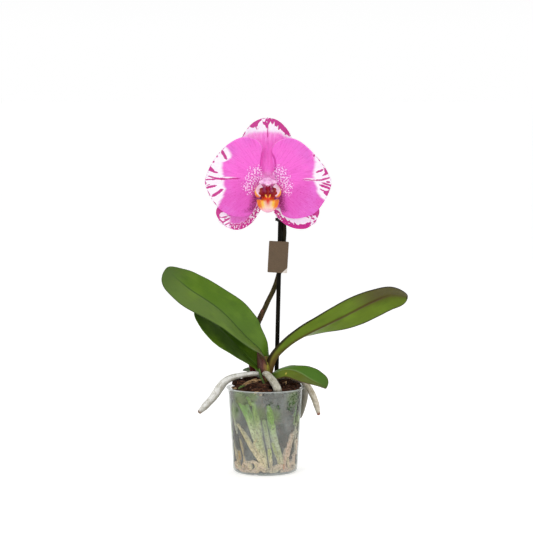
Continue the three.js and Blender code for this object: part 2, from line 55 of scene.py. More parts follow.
def smoothstep(x, low, high):
    t = np.clip((np.asarray(x, float) - low) / (high - low), 0, 1)
    return t * t * (3 - 2 * t)


def bell(x, centre, width):
    """1 at the centre and close to 0 beyond about two widths."""
    return np.exp(-(((np.asarray(x, float) - centre) / width) ** 2))


def evenly(values, t):
    """A value that runs evenly through a short list as t goes from 0 to 1."""
    return np.interp(np.clip(t, 0, 1) * (len(values) - 1), np.arange(len(values)), values)


def smoothly(values, t, width=0.09):
    """The same, with the corners taken off."""
    shifts = np.linspace(-width, width, 13)
    weights = np.cos(shifts / width * math.pi / 2) ** 2
    return sum(w * evenly(values, t + d) for d, w in zip(shifts, weights)) / weights.sum()


def grain(points, size, seed=0):
    """Smooth noise from -1 to 1 at each point, whose lumps are about `size` across."""
    flat = np.asarray(points, float).reshape(-1, 3) / size + 17.3 * seed
    made = np.array([noise.noise(Vector(p)) for p in flat])
    return made.reshape(np.asarray(points).shape[:-1])


def grain_at(x, y, z, size, seed=0):
    """The same noise, from coordinates that are given one by one."""
    return grain(np.stack(np.broadcast_arrays(x, y, z), -1), size, seed)


def round_axis(reach, turn, z):
    """Points at a distance from the axis. Turns are in radians and run from the front to the right."""
    return np.stack(np.broadcast_arrays(reach * np.sin(turn), -reach * np.cos(turn), z), -1)


def unit(v):
    return v / np.maximum(np.linalg.norm(v, axis=-1, keepdims=True), 1e-12)


class Route:
    """A smooth curve through points, as in the CAD, followed by its length from 0 to 1."""

    def __init__(self, points, steps=600):
        p = np.array(points, float)
        self.points = np.vstack([2 * p[0] - p[1], p, 2 * p[-1] - p[-2]])
        self.spans = len(p) - 1
        self.share = np.linspace(0, 1, steps + 1)
        run = np.linalg.norm(np.diff(self.even(self.share), axis=0), axis=1)
        self.run = np.concatenate([[0], np.cumsum(run)])

    def even(self, t):
        x = np.clip(np.asarray(t, float), 0, 1) * self.spans
        i = np.minimum(x.astype(int), self.spans - 1)
        w = (x - i)[..., None]
        p0, p1, p2, p3 = (self.points[i + k] for k in range(4))
        start, end = (p2 - p0) / 2, (p3 - p1) / 2
        return (
            (2 * w**3 - 3 * w**2 + 1) * p1
            + (w**3 - 2 * w**2 + w) * start
            + (3 * w**2 - 2 * w**3) * p2
            + (w**3 - w**2) * end
        )

    @property
    def length(self):
        return self.run[-1]

    def at(self, s):
        return self.even(np.interp(np.asarray(s, float) * self.length, self.run, self.share))

    def tangent(self, s):
        s = np.asarray(s, float)
        return unit(self.at(np.clip(s + 1e-3, 0, 1)) - self.at(np.clip(s - 1e-3, 0, 1)))

    def fraction_at(self, height):
        """How far along a rising curve it reaches a height."""
        s = np.linspace(0, 1, 2000)
        return float(np.interp(height, self.at(s)[:, 2], s))

    def at_height(self, height):
        return self.at(self.fraction_at(height))

    def frames(self, s):
        """Points, and two cross directions there that turn as little as they can."""
        centre, tangent = self.at(s), self.tangent(s)
        normals = [unit(np.cross(tangent[0], [0.3, 0.9, 0.2]))]
        for t in tangent[1:]:
            normals.append(unit(normals[-1] - t * np.dot(normals[-1], t)))
        normals = np.array(normals)
        return centre, normals, np.cross(tangent, normals)


# ------------------------------------------------------------------ meshes
def grid_faces(rows, cols, wrap=False, start=0):
    """Four-sided faces between the rows of a grid of points, closed into rings if it wraps."""
    i, j = np.meshgrid(np.arange(rows - 1), np.arange(cols if wrap else cols - 1), indexing="ij")
    k = (j + 1) % cols
    quads = np.stack([i * cols + j, i * cols + k, (i + 1) * cols + k, (i + 1) * cols + j], -1)
    return quads.reshape(-1, 4) + start


def volume(points, faces):
    """Six times the volume inside the faces, negative if they face inwards."""
    total = 0.0
    for f in faces:
        a = points[f[:, 0]]
        for k in range(1, f.shape[1] - 1):
            total += np.einsum("ij,ij->i", a, np.cross(points[f[:, k]], points[f[:, k + 1]])).sum()
    return total


class Solid:
    """Points in millimetres, faces in groups of one size, and named values at each point."""

    def __init__(self, points, faces, values=None):
        self.points = np.asarray(points, float).reshape(-1, 3)
        self.faces = [np.asarray(f, int) for f in faces if len(f)]
        self.values = {k: np.asarray(v, float).ravel() for k, v in (values or {}).items()}

    def outward(self):
        if volume(self.points, self.faces) < 0:
            self.faces = [f[:, ::-1] for f in self.faces]
        return self

    def moved(self, place):
        self.points = place(self.points)
        return self


def joined(solids):
    """Several solids as one. A value that one of them lacks is 0 there."""
    points, faces, values, start = [], [], {}, 0
    names = sorted({n for s in solids for n in s.values})
    for s in solids:
        points.append(s.points)
        faces += [f + start for f in s.faces]
        for n in names:
            values.setdefault(n, []).append(s.values.get(n, np.zeros(len(s.points))))
        start += len(s.points)
    return Solid(np.vstack(points), faces, {n: np.concatenate(v) for n, v in values.items()})


def shell(front, back, values=()):
    """A closed thin sheet between two grids of points. Each value is one grid or a pair of them."""
    rows, cols = front.shape[:2]
    n = rows * cols
    index = np.arange(n).reshape(rows, cols)
    rim = np.concatenate([index[0, :-1], index[:-1, -1], index[-1, :0:-1], index[:0:-1, 0]])
    nxt = np.roll(rim, -1)
    sides = np.stack([rim, rim + n, nxt + n, nxt], -1)
    faces = np.concatenate([grid_faces(rows, cols), grid_faces(rows, cols, start=n)[:, ::-1], sides])
    pairs = {k: v if isinstance(v, tuple) else (v, v) for k, v in dict(values).items()}
    both = {k: np.concatenate([np.ravel(v) for v in pair]) for k, pair in pairs.items()}
    points = np.concatenate([front.reshape(-1, 3), back.reshape(-1, 3)])
    return Solid(points, [faces], both).outward()


def closed_rings(rings, values=()):
    """A solid from a stack of rings of points, closed by a fan at each end."""
    rows, cols = rings.shape[:2]
    points = np.concatenate([rings.reshape(-1, 3), [rings[0].mean(0)], [rings[-1].mean(0)]])
    j = np.arange(cols)
    k = (j + 1) % cols
    last = (rows - 1) * cols
    first_end = np.stack([k, j, np.full(cols, rows * cols)], -1)
    last_end = np.stack([last + j, last + k, np.full(cols, rows * cols + 1)], -1)
    made = {}
    for name, v in dict(values).items():
        v = np.broadcast_to(v, (rows, cols))
        made[name] = np.concatenate([v.ravel(), [v[0].mean()], [v[-1].mean()]])
    ends = np.concatenate([first_end, last_end])
    return Solid(points, [grid_faces(rows, cols, wrap=True), ends], made).outward()


def tube(route, radii, step=1.0, sides=24, shape=None):
    """A tube with rounded ends, whose radius runs through the list. shape(s, around, points) gives
    a factor on the radius."""
    route = route if isinstance(route, Route) else Route(route)
    rows = max(8, int(route.length / step))
    first, last = 0.6 * np.array([radii[0], radii[-1]]) / route.length
    even, ease = np.linspace(0, 1, rows), 1 - np.cos(np.linspace(0, math.pi / 2, 6)[:-1])
    middle = even[(even > first) & (even < 1 - last)]
    s = np.concatenate([first * ease, middle, 1 - last * ease[::-1]])
    centre, n, b = route.frames(s)
    around = np.linspace(0, 2 * math.pi, sides, endpoint=False)
    r = evenly(radii, s)
    for from_end in (s / first, (1 - s) / last):
        r = r * np.sqrt(np.clip(1 - np.clip(1 - from_end, 0, 1) ** 2, 0.02, 1))
    ring = n[:, None] * np.cos(around)[:, None] + b[:, None] * np.sin(around)[:, None]
    points = centre[:, None] + ring * r[:, None, None]
    if shape:
        factor = shape(s[:, None], around[None], points)
        points = centre[:, None] + ring * (r[:, None] * factor)[..., None]
    return closed_rings(points, {"along": s[:, None], "around": around[None]})


def turned(profile, segments):
    """A solid of revolution about Z from a closed profile of [radius, height] off the axis."""
    profile = np.array(profile, float)
    around = np.linspace(0, 2 * math.pi, segments, endpoint=False)
    rings = round_axis(profile[:, :1], around, profile[:, 1:])
    rows = len(profile)
    quads = grid_faces(rows + 1, segments, wrap=True) % (rows * segments)
    return Solid(rings, [quads]).outward()


def new_mesh(name, solid):
    mesh = bpy.data.meshes.new(name)
    faces = [f for group in solid.faces for f in group.tolist()]
    mesh.from_pydata((solid.points * MM).tolist(), [], faces)
    return mesh


def new_object(name, data):
    made = bpy.data.objects.new(name, data)
    bpy.context.scene.collection.objects.link(made)
    return made


def write_values(mesh, values):
    """Stores a named value for each point, where materials can read it."""
    for key, value in values.items():
        mesh.attributes.new(key, "FLOAT", "POINT").data.foreach_set("value", value.astype(np.float32))


def read_points(piece):
    return np.array([v.co for v in piece.data.vertices]) / MM


def apply_modifiers(piece):
    graph = bpy.context.evaluated_depsgraph_get()
    mesh = bpy.data.meshes.new_from_object(piece.evaluated_get(graph))
    piece.modifiers.clear()
    piece.data = mesh


def make(name, solid, material, replaces, sharp=None):
    """A finished piece from a solid: it rides on the one body and stands for its CAD nodes."""
    mesh = new_mesh(name, solid)
    mesh.validate()
    write_values(mesh, solid.values)
    mesh.shade_smooth()
    if sharp:
        mesh.set_sharp_from_angle(angle=math.radians(sharp))
    mesh.materials.append(material)
    piece = new_object(name, mesh)
    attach(piece, "root")
    if replaces:
        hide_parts(*replaces)
    return piece


# ------------------------------------------------------------------ materials
def rgb(*channels):
    """A colour from 0 to 255 per channel, as the linear values that shaders take."""
    shares = [c / 255 for c in channels]
    return (*(x / 12.92 if x <= 0.04045 else ((x + 0.055) / 1.055) ** 2.4 for x in shares), 1.0)


class Shade:
    """A node material that is put together from short calls, which take and return sockets or take
    plain numbers. A plain colour is three channels from 0 to 255. paint lays it over the last."""

    def __init__(self, name, **settings):
        self.material = bpy.data.materials.new(name)
        self.material.use_nodes = True
        self.tree = self.material.node_tree
        self.shader = self.tree.nodes["Principled BSDF"]
        self.colour = None
        self.set(**settings)

    def set(self, **settings):
        for key, value in settings.items():
            self.plug(self.shader.inputs[key.replace("_", " ")], value)

    def plug(self, socket, value):
        """Links a socket to another one or gives it a value, and leaves it as it is for None."""
        if isinstance(value, bpy.types.NodeSocket):
            self.tree.links.new(value, socket)
        elif value is not None:
            socket.default_value = value

    def node(self, kind, inputs=(), **settings):
        made = self.tree.nodes.new("ShaderNode" + kind)
        for key, value in settings.items():
            setattr(made, key, value)
        for key, value in dict(inputs).items():
            self.plug(made.inputs[key], value)
        return made

    def place(self, stretch=(1, 1, 1)):
        """Where a point is, in millimetres, each axis multiplied by its stretch."""
        where = self.node("TexCoord").outputs["Object"]
        scale = tuple(x / MM for x in stretch)
        return self.node("Mapping", {"Vector": where, "Scale": scale}).outputs[0]

    def vertical(self, vector):
        return self.node("SeparateXYZ", {0: vector}).outputs[2]

    def height(self):
        """How high a point is, in millimetres."""
        return self.vertical(self.place())

    def slope(self):
        """1 where the surface faces up and -1 where it faces down."""
        return self.vertical(self.node("NewGeometry").outputs["Normal"])

    def attribute(self, name):
        return self.node("Attribute", attribute_name=name).outputs["Fac"]

    def attributes(self, *names):
        return [self.attribute(name) for name in names]

    def tint(self):
        """The colour that a mesh carries in its tint_r, tint_g and tint_b values."""
        channels = dict(enumerate(self.attributes("tint_r", "tint_g", "tint_b")))
        return self.node("CombineColor", channels).outputs[0]

    def math(self, operation, a, b=None):
        return self.node("Math", {0: a, 1: b}, operation=operation).outputs[0]

    def times(self, a, b):
        return self.math("MULTIPLY", a, b)

    def add(self, a, b, share=None):
        """The sum of a and b, or of a and a share of b."""
        return self.math("ADD", a, b if share is None else self.times(b, share))

    def stir(self, x, noise, amount):
        """x, pushed up and down by a noise that runs from 0 to 1."""
        return self.add(x, self.add(noise, -0.5), amount)

    def combine(self, x, y, z=0.0):
        return self.node("CombineXYZ", {0: x, 1: y, 2: z}).outputs[0]

    def noise(self, vector, size, detail=3.0, rough=0.5, warp=0.0):
        """Noise from 0 to 1 whose lumps are about `size` across, in the vector's unit."""
        inputs = {"Vector": vector, "Scale": 1 / size, "Detail": detail, "Roughness": rough}
        return self.node("TexNoise", inputs | {"Distortion": warp}).outputs[0]

    def cells(self, vector, size):
        """How far a point is from the middle of its cell, as a share of a cell's size."""
        return self.node("TexVoronoi", {"Vector": vector, "Scale": 1 / size}).outputs["Distance"]

    def step(self, x, low, high, to_low=0.0, to_high=1.0):
        """Goes smoothly from to_low to to_high as x goes from low to high."""
        inputs = {"Value": x, "From Min": low, "From Max": high, "To Min": to_low, "To Max": to_high}
        return self.node("MapRange", inputs, interpolation_type="SMOOTHSTEP").outputs[0]

    def mix(self, factor, a, b):
        made = self.node("Mix", {0: factor}, data_type="RGBA")
        for socket, colour in zip((made.inputs[6], made.inputs[7]), (a, b)):
            self.plug(socket, rgb(*colour) if isinstance(colour, tuple) else colour)
        return made.outputs[2]

    def paint(self, share, colour):
        self.colour = self.mix(share, self.colour, colour)

    def ramp(self, x, stops):
        made = self.node("ValToRGB", {0: x})
        elements = made.color_ramp.elements
        while len(elements) < len(stops):
            elements.new(0.5)
        for element, (place, colour) in zip(elements, stops):
            element.position, element.color = place, rgb(*colour)
        return made.outputs[0]

    def bump(self, height, depth):
        """A bump whose height of 1 stands for `depth` millimetres."""
        return self.node("Bump", {"Height": height, "Distance": depth * MM, "Strength": 1.0}).outputs[0]

    def done(self, roughness=None, normal=None):
        self.set(Base_Color=self.colour, Roughness=roughness, Normal=normal)
        return self.material


# ------------------------------------------------------------------ pot
POT = dict(
    height=98, foot=37, mouth=43, rim=45, rim_thickness=1.4, wall=0.9, floor=1.2, corner=4, sides=176,
)
NOTCH = dict(count=4, radius=3.2, first=-20, depth=9)  # the first one's turn is in degrees


def outer_radius(z):
    return lerp(POT["foot"], POT["mouth"], z / POT["height"])


def inner_radius(z):
    return outer_radius(z) - POT["wall"]


def pot_profile():
    """The pot's section, all the way round its wall."""
    corner, wall, height = POT["corner"], POT["wall"], POT["height"]

    def bend(radius, inset):
        """A quarter turn between the floor and the wall."""
        reach, middle = corner - inset, outer_radius(corner) - corner
        turns = np.linspace(0, math.pi / 2, 8)
        return [[middle + reach * math.sin(t), radius - reach * math.cos(t)] for t in turns]

    heights = np.linspace(corner + 3, height - 2.4, 58)
    outside = [[0.01, 0], [20, 0], [31, 0]] + bend(corner, 0) + [[outer_radius(z), z] for z in heights]
    shoulder = [[outer_radius(height - 1.9), height - 1.9], [outer_radius(height) + 0.35, height - 1.5]]
    half = POT["rim_thickness"] / 2
    turns = np.linspace(-math.pi / 2, math.pi / 2, 7)
    lip = [[POT["rim"] - half + half * math.cos(t), height - half + half * math.sin(t)] for t in turns]
    inside_top = [[inner_radius(height) + 0.5, height], [inner_radius(height), height - 0.5]]
    inside = [[inner_radius(z), z] for z in heights[::-1]]
    inner_corner = bend(corner + POT["floor"] - wall, wall)[::-1]
    bottom = [[20, POT["floor"]], [0.01, POT["floor"]]]
    return outside + shoulder + lip + inside_top + inside + inner_corner + bottom


def pot_material():
    """Thin clear plastic: a grey bloom that is thicker near the foot and at the sides and thinner
    where a root presses on the wall, with scuffs, a fine mist of drops and specks of algae."""
    m = Shade("clear_pot", Specular_IOR_Level=0.3, IOR=1.49)
    p, height = m.place(), m.height()
    touched, green, algae = m.attributes("touched", "green", "algae")
    scuffs = m.noise(m.place((1, 1, 0.25)), 6, 5, 0.65)
    mist = m.noise(p, 26, 4, 0.6)
    drops, grit = m.noise(p, 1.6, 3, 0.65), m.noise(p, 2.4, 3, 0.65)
    side = m.node("LayerWeight", {"Blend": 0.5}).outputs["Facing"]
    bloom = m.add(m.step(mist, 0.32, 0.7, 0.13, 0.23), m.step(scuffs, 0.5, 0.8, 0.0, 0.06))
    bloom = m.add(bloom, m.step(drops, 0.45, 0.75, 0.0, 0.09))
    bloom = m.add(bloom, m.step(height, 0, 15, 0.14, 0.0))
    bloom = m.add(bloom, green, 0.09)
    bloom = m.times(bloom, m.step(touched, 0, 1, 1, 0.22))
    bloom = m.add(bloom, m.step(side, 0.62, 0.98, 0.0, 0.28))
    algae = m.times(algae, m.step(grit, 0.51, 0.56))
    rim = m.step(height, POT["height"] - 1.3, POT["height"] - 0.7)
    m.set(Alpha=m.add(m.add(bloom, algae, 0.75), rim, 0.25))
    m.colour = m.mix(m.step(mist, 0.35, 0.7), (178, 186, 180), (198, 203, 198))
    m.paint(m.times(green, 0.8), (164, 188, 128))
    m.paint(m.step(algae, 0.05, 0.5), (48, 76, 24))
    m.paint(rim, (222, 227, 224))
    fine = m.noise(m.place((1, 1, 0.08)), 1.2, 2)
    return m.done(m.step(scuffs, 0.3, 0.8, 0.24, 0.42), m.bump(m.add(fine, mist, 4), 0.02))


# Patches on the wall: the degrees round from the front, the height and the size.
ALGAE = [
    (47, 85, 9), (43, 78, 6), (57, 89, 7), (-52, 74, 5), (20, 80, 4), (9, 84, 3), (150, 70, 9),
    (-130, 86, 8),
]
GREEN_FILM = [
    (-42, 88, 15), (-60, 72, 12), (-20, 92, 8), (-12, 72, 12), (12, 70, 12), (66, 62, 10), (50, 88, 12),
    (140, 76, 18), (-140, 80, 16),
]


def wall_values(points):
    """What each place on the pot wall carries: roots that press on it, algae and green film."""
    touched = np.zeros(len(points))
    for places, radius, *_ in POT_ROOTS + FINE_ROOTS:
        line = Route(wall_route(places, radius)).at(np.linspace(0, 1, 50))
        gap = np.min([np.linalg.norm(points - q, axis=1) for q in line], axis=0) - radius
        touched = np.maximum(touched, 1 - smoothstep(gap, 0.3, 1.8))
    values = {"touched": touched}
    for name, patches in (("algae", ALGAE), ("green", GREEN_FILM)):
        values[name] = np.zeros(len(points))
        for turn, z, size in patches:
            gap = np.linalg.norm(points - round_axis(outer_radius(z), math.radians(turn), z), axis=1)
            values[name] = np.maximum(values[name], 1 - smoothstep(gap, 0.35 * size, 1.2 * size))
    return values


def notch_cutters():
    """Lying cylinders through the wall's foot, all round the pot."""
    for i in range(NOTCH["count"]):
        angle = math.radians(NOTCH["first"] + i * 360 / NOTCH["count"])
        bpy.ops.mesh.primitive_cylinder_add(
            vertices=32,
            radius=NOTCH["radius"] * MM,
            depth=NOTCH["depth"] * MM,
            location=tuple(round_axis(POT["foot"] - NOTCH["depth"] / 2 + 1, angle, 0) * MM),
            rotation=(math.pi / 2, 0, angle),
        )
        yield bpy.context.active_object


def make_pot():
    piece = make("pot_clear", turned(pot_profile(), POT["sides"]), pot_material(), ["pot"], sharp=50)
    cutters = list(notch_cutters())
    for cutter in cutters:
        modifier = piece.modifiers.new("notch", "BOOLEAN")
        modifier.operation, modifier.object, modifier.solver = "DIFFERENCE", cutter, "EXACT"
    apply_modifiers(piece)
    for cutter in cutters:
        bpy.data.objects.remove(cutter)
    write_values(piece.data, wall_values(read_points(piece)))


# ------------------------------------------------------------------ roots
# A root is a route and the radii along it.
AERIAL_ROOTS = {
    "aerial_root_left": (
        [
            (-6.5, -4, 112.8), (-11, -7, 114), (-22.2, -10, 113.6), (-33.7, -10, 111.5), (-42, -9.5, 108.2),
            (-48.3, -9, 103.4), (-52.8, -8.5, 97.4), (-58.2, -8, 89.3), (-65.2, -7, 81), (-77, -6, 68.3),
        ],
        [2.4, 2.7, 2.9, 3.3, 4.1, 4.7, 4.5, 4.3, 4, 2],
    ),
    "aerial_root_front": (
        [
            (-2, -7, 113.5), (1.2, -12, 114.7), (6.4, -19, 110.2), (10.4, -25, 105.9),
            (13, -29.5, 101), (15, -32, 93.5), (16, -32.6, 85), (15, -32.5, 77),
        ],
        [2.4, 3.5, 4, 4.3, 4.5, 4.3, 3.8, 2.4],
    ),
    "aerial_root_right": (
        [
            (6, -2, 106), (17, 1, 108), (29, 2, 108), (40, 2, 106),
            (47.8, 1, 100.5), (54, 0, 90), (58.5, -1, 78.5), (62, -2, 65),
        ],
        [2.6, 3, 3.1, 3.2, 3.3, 3.5, 3.3, 1.7],
    ),
    "aerial_root_back": (
        [
            (19, 12, 97), (25, 14, 105), (32, 17, 108.5), (40, 18.6, 107.6), (45, 19.4, 102),
            (46.3, 19.8, 91), (45.4, 20.2, 79), (43.2, 21.3, 68), (40.6, 22.6, 58),
        ],
        [2, 2.8, 3.2, 3.4, 3.6, 3.7, 3.5, 2.8, 1.6],
    ),
}
YOUNG_ROOT = (
    [(-7, -6, 120), (-5.6, -9.5, 113), (-2.6, -13, 106), (0.6, -16, 99), (1.5, -17, 93)],
    [0.8, 1.4, 1.3, 1.1, 0.8],
)
SPROUT = ([(-31, -19.5, 98), (-27.5, -20, 100.6), (-23.5, -19, 101.6)], [0.9, 1.5, 0.7])
# The look of each root: skin, shaded skin, pale streaks, the tip, and where along it the tip starts.
ROOT_LOOKS = {
    "aerial_root_left": ((234, 233, 228), (186, 182, 168), (254, 254, 252), (104, 70, 42), 0.95),
    "aerial_root_front": ((196, 193, 176), (148, 144, 120), (224, 222, 210), (150, 140, 120), 0.97),
    "aerial_root_right": ((222, 213, 196), (170, 156, 128), (244, 238, 224), (126, 62, 34), 0.94),
    "aerial_root_back": ((150, 147, 136), (112, 108, 94), (180, 177, 168), (110, 104, 88), 0.97),
    "root_young": ((84, 116, 40), (50, 80, 22), (124, 150, 74), (72, 100, 32), 0.9),
}


def root_shape(seed, rough=0.07, lumps=0.06):
    """Uneven growth: broad swellings, small knots and shallow wrinkles along a root."""

    def factor(s, around, points):
        broad, small = grain(points, 9, seed), grain(points, 2.4, seed + 3)
        wrinkle = grain_at(np.cos(around) * 3, np.sin(around) * 3, s * 4, 0.8, seed + 5)
        return 1 + lumps * broad + rough * 0.5 * small + 0.03 * wrinkle

    return factor


def root_material(name, base, shade, pale, tip, tip_start, buried=False):
    """Velamen: a silvery, softly mottled skin that follows the root, darker at its growing tip."""
    m = Shade(name, Specular_IOR_Level=0.2, Sheen_Weight=0.2, Sheen_Roughness=0.5)
    p = m.place()
    around, along = m.attributes("around", "along")
    mottle, fine = m.noise(p, 5, 4, 0.6), m.noise(p, 0.7, 3, 0.6)
    streaks = m.noise(m.combine(m.times(around, 1.6), m.times(along, 4)), 0.4, 4, 0.65)
    m.colour = m.mix(m.step(mottle, 0.3, 0.62), shade, base)
    m.paint(m.step(streaks, 0.44, 0.7, 0, 0.8), pale)
    m.paint(m.step(fine, 0.57, 0.72, 0, 0.42), (104, 92, 70))
    m.paint(m.step(m.noise(p, 2.2, 4, 0.7), 0.56, 0.66, 0, 0.5), (132, 116, 90))
    # painted shade: darker where the surface faces down
    m.paint(m.step(m.slope(), -0.75, 0.35, 0.74, 0), (100, 94, 72))
    m.paint(m.step(m.add(along, fine, 0.01), tip_start, 1.0), tip)
    if buried:
        m.paint(m.step(m.height(), POT["height"] - 1, POT["height"] + 3, 0.8, 0), (44, 34, 26))
    height = m.add(mottle, m.add(m.times(fine, 0.4), streaks, 0.5))
    return m.done(m.step(mottle, 0.3, 0.7, 0.55, 0.75), m.bump(height, 0.3))


def make_aerial_roots():
    for seed, (name, (route, radii)) in enumerate(AERIAL_ROOTS.items()):
        skin = root_material(name + "_skin", *ROOT_LOOKS[name], buried=name.endswith("front"))
        solid = tube(route, [r * 1.05 for r in radii], 0.7, 36, root_shape(seed, 0.05, 0.09))
        make(name + "_fine", solid, skin, [name])
    skin = root_material("root_young", *ROOT_LOOKS["root_young"])
    solids = [tube(route, radii, 0.6, 24, root_shape(9, 0.04, 0.04)) for route, radii in (YOUNG_ROOT, SPROUT)]
    make("young_root_fine", joined(solids), skin, ["young_root"])


# Roots inside the pot follow the wall: places as (degrees round from the front, height), then the
# radius and the colours at the top and the foot.
GREEN, PALE_GREEN, CREAM = (120, 176, 34), (194, 212, 138), (238, 220, 176)
PINKISH, GREY = (236, 204, 178), (212, 218, 206)
POT_ROOTS = [
    ([(-54, 87), (-38, 74), (-29, 62), (-22, 49), (-18, 39)], 3.5, (112, 172, 14), (214, 222, 170)),
    ([(-60, 58), (-42, 48), (-26, 33), (-10, 18), (0, 8)], 2.7, (222, 206, 150), (244, 226, 180)),
    ([(5, 83), (10, 67), (14, 50), (20, 38), (27, 28)], 4.1, (116, 168, 24), (204, 212, 172)),
    ([(-21, 86), (-17, 72), (-12, 58), (-8, 45)], 3.1, (132, 168, 76), (196, 206, 150)),
    ([(-20, 16), (-17, 11), (-14, 6)], 1.7, CREAM, CREAM),
    ([(7, 33), (9, 22), (11, 10)], 2.3, (204, 212, 132), CREAM),
    ([(58, 48), (45, 34), (39, 20), (40, 7)], 2.8, PINKISH, (226, 190, 160)),
    ([(80, 33), (64, 22), (57, 7)], 2.3, (200, 182, 160), PINKISH),
    ([(-76, 40), (-68, 24), (-59, 7)], 2.5, (192, 182, 150), (206, 176, 128)),
    ([(102, 84), (112, 62), (106, 40), (114, 14)], 3.2, GREEN, PALE_GREEN),
    ([(150, 80), (142, 56), (151, 34), (146, 12)], 3.4, PALE_GREEN, CREAM),
    ([(-160, 86), (-168, 60), (-156, 36), (-164, 10)], 3, GREEN, CREAM),
    ([(-112, 78), (-122, 54), (-110, 30), (-118, 10)], 3.2, PALE_GREEN, GREY),
    ([(-50, 7), (-43, 13), (-34, 14), (-27, 7)], 2.6, PINKISH, CREAM),
]
# Finer roots between them, which the CAD leaves out.
FINE_ROOTS = [
    ([(-32, 92), (-28, 87), (-24, 81)], 1.8, (96, 140, 40), (140, 164, 70)),
    ([(-3, 66), (0, 55), (4, 43), (7, 30)], 2.7, (150, 168, 112), (194, 196, 156)),
    ([(-34, 83), (-27, 71), (-21, 59), (-15, 47), (-9, 36)], 2.8, (116, 156, 60), (196, 200, 148)),
    ([(-9, 48), (-6, 37), (-2, 25), (3, 9)], 2.2, (190, 196, 140), (224, 212, 168)),
    ([(25, 31), (30, 21), (35, 8)], 2.4, (204, 208, 156), (226, 210, 170)),
    ([(72, 60), (60, 46), (52, 32), (45, 14)], 1.8, (206, 196, 172), PINKISH),
    ([(-46, 5), (-38, 8), (-30, 5)], 2.4, (206, 172, 140), (222, 192, 160)),
    ([(-18, 5), (-9, 8), (0, 5)], 2.5, (214, 184, 150), (226, 200, 166)),
    ([(12, 39), (18, 29), (25, 19), (27, 12)], 1.9, (176, 190, 104), (214, 204, 150)),
    ([(52, 40), (43, 28), (47, 14), (52, 6)], 1.5, PINKISH, CREAM),
    ([(66, 78), (58, 66), (60, 56)], 1.3, (110, 150, 60), (150, 168, 110)),
    ([(-66, 84), (-70, 70), (-64, 56), (-60, 46)], 1.7, (150, 162, 116), (184, 180, 150)),
    ([(-52, 42), (-46, 30), (-42, 20), (-44, 8)], 1.6, (196, 172, 118), (214, 180, 130)),
    ([(-66, 6), (-48, 4.5), (-30, 5), (-12, 4.5)], 2.2, PINKISH, (226, 200, 172)),
    ([(-4, 5), (14, 8), (30, 12), (38, 5)], 2.2, (224, 202, 166), PINKISH),
    ([(30, 4.5), (52, 5), (74, 5), (92, 4.5)], 2.2, PINKISH, (214, 190, 160)),
    ([(-24, 5), (-14, 11), (-6, 15), (4, 8)], 2.3, (226, 200, 172), CREAM),
    ([(66, 40), (72, 28), (68, 16), (76, 6)], 1.6, (206, 190, 164), PINKISH),
    ([(-14, 44), (-20, 36), (-10, 26), (-14, 18)], 1.4, (210, 196, 150), CREAM),
    ([(-56, 27), (-54.5, 21), (-53, 16)], 1.5, (216, 168, 20), (200, 150, 50)),
    ([(34, 14), (36, 9), (37, 6)], 1.6, (206, 128, 76), (200, 120, 70)),
    ([(49, 46), (52, 34), (47, 22), (50, 10)], 1.4, (222, 200, 178), PINKISH),
    ([(72, 52), (68, 40), (73, 30), (70, 22)], 1.5, (206, 196, 170), PINKISH),
    ([(-40, 9), (-26, 16), (-12, 13), (2, 7)], 1.8, (228, 204, 176), (240, 216, 186)),
    ([(8, 4.5), (22, 6), (34, 10), (48, 6)], 2.0, CREAM, PINKISH),
    ([(-86, 8), (-74, 11), (-62, 9), (-50, 5)], 2.0, PINKISH, CREAM),
    ([(46, 10), (58, 13), (70, 10), (82, 6)], 1.9, PINKISH, CREAM),
    ([(82, 70), (88, 52), (80, 34), (86, 18)], 2.0, (170, 186, 120), PINKISH),
    ([(170, 70), (176, 48), (168, 28), (178, 8)], 2.4, PALE_GREEN, CREAM),
    ([(128, 60), (126, 40), (134, 22), (124, 6)], 2.2, (186, 196, 140), PINKISH),
    ([(-96, 72), (-92, 50), (-100, 28), (-92, 8)], 2.3, GREEN, CREAM),
    ([(-138, 64), (-140, 42), (-130, 22), (-142, 6)], 2.4, PALE_GREEN, CREAM),
    ([(-20, 42), (-13, 33), (-6, 24), (1, 14)], 2.4, (206, 208, 156), CREAM),
    ([(104, 34), (124, 24), (146, 13), (166, 6)], 2.0, (206, 204, 160), CREAM),
    ([(-172, 60), (-152, 42), (-134, 27), (-112, 12)], 2.2, PALE_GREEN, CREAM),
    ([(162, 52), (178, 41), (192, 24), (204, 9)], 1.9, (190, 196, 150), PINKISH),
    ([(104, 5), (136, 4.5), (168, 5), (200, 4.5), (230, 5), (262, 4.5), (290, 5)], 2.2, CREAM, PINKISH),
]


def wall_route(places, radius):
    """The way of a root that touches the pot wall from inside."""
    turn, z = np.array(places, float).T
    return round_axis(inner_radius(z) - radius - GAP, np.radians(turn), z)


def inside_wall(solid, gap, floor_gap, loose=False):
    """Pushes in what would stand in the pot's wall or floor. Loose pieces may lie on top of the pot."""
    z = solid.points[:, 2]
    limit = inner_radius(np.clip(z, 4, POT["height"]) if loose else z) - gap
    if loose:
        limit = np.where(z < POT["height"] + 1, limit, OVER_THE_RIM)
    reach = np.hypot(solid.points[:, 0], solid.points[:, 1])
    solid.points[:, :2] *= np.minimum(1, limit / np.maximum(reach, 1e-6))[:, None]
    solid.points[:, 2] = np.maximum(z, POT["floor"] + floor_gap)
    return solid


def colour_values(solid, colours):
    """Stores a colour for each point, as the values that Shade.tint reads."""
    solid.values.update(zip(("tint_r", "tint_g", "tint_b"), colours.T))
    return solid


def linear(colour):
    return np.array(rgb(*colour)[:3])


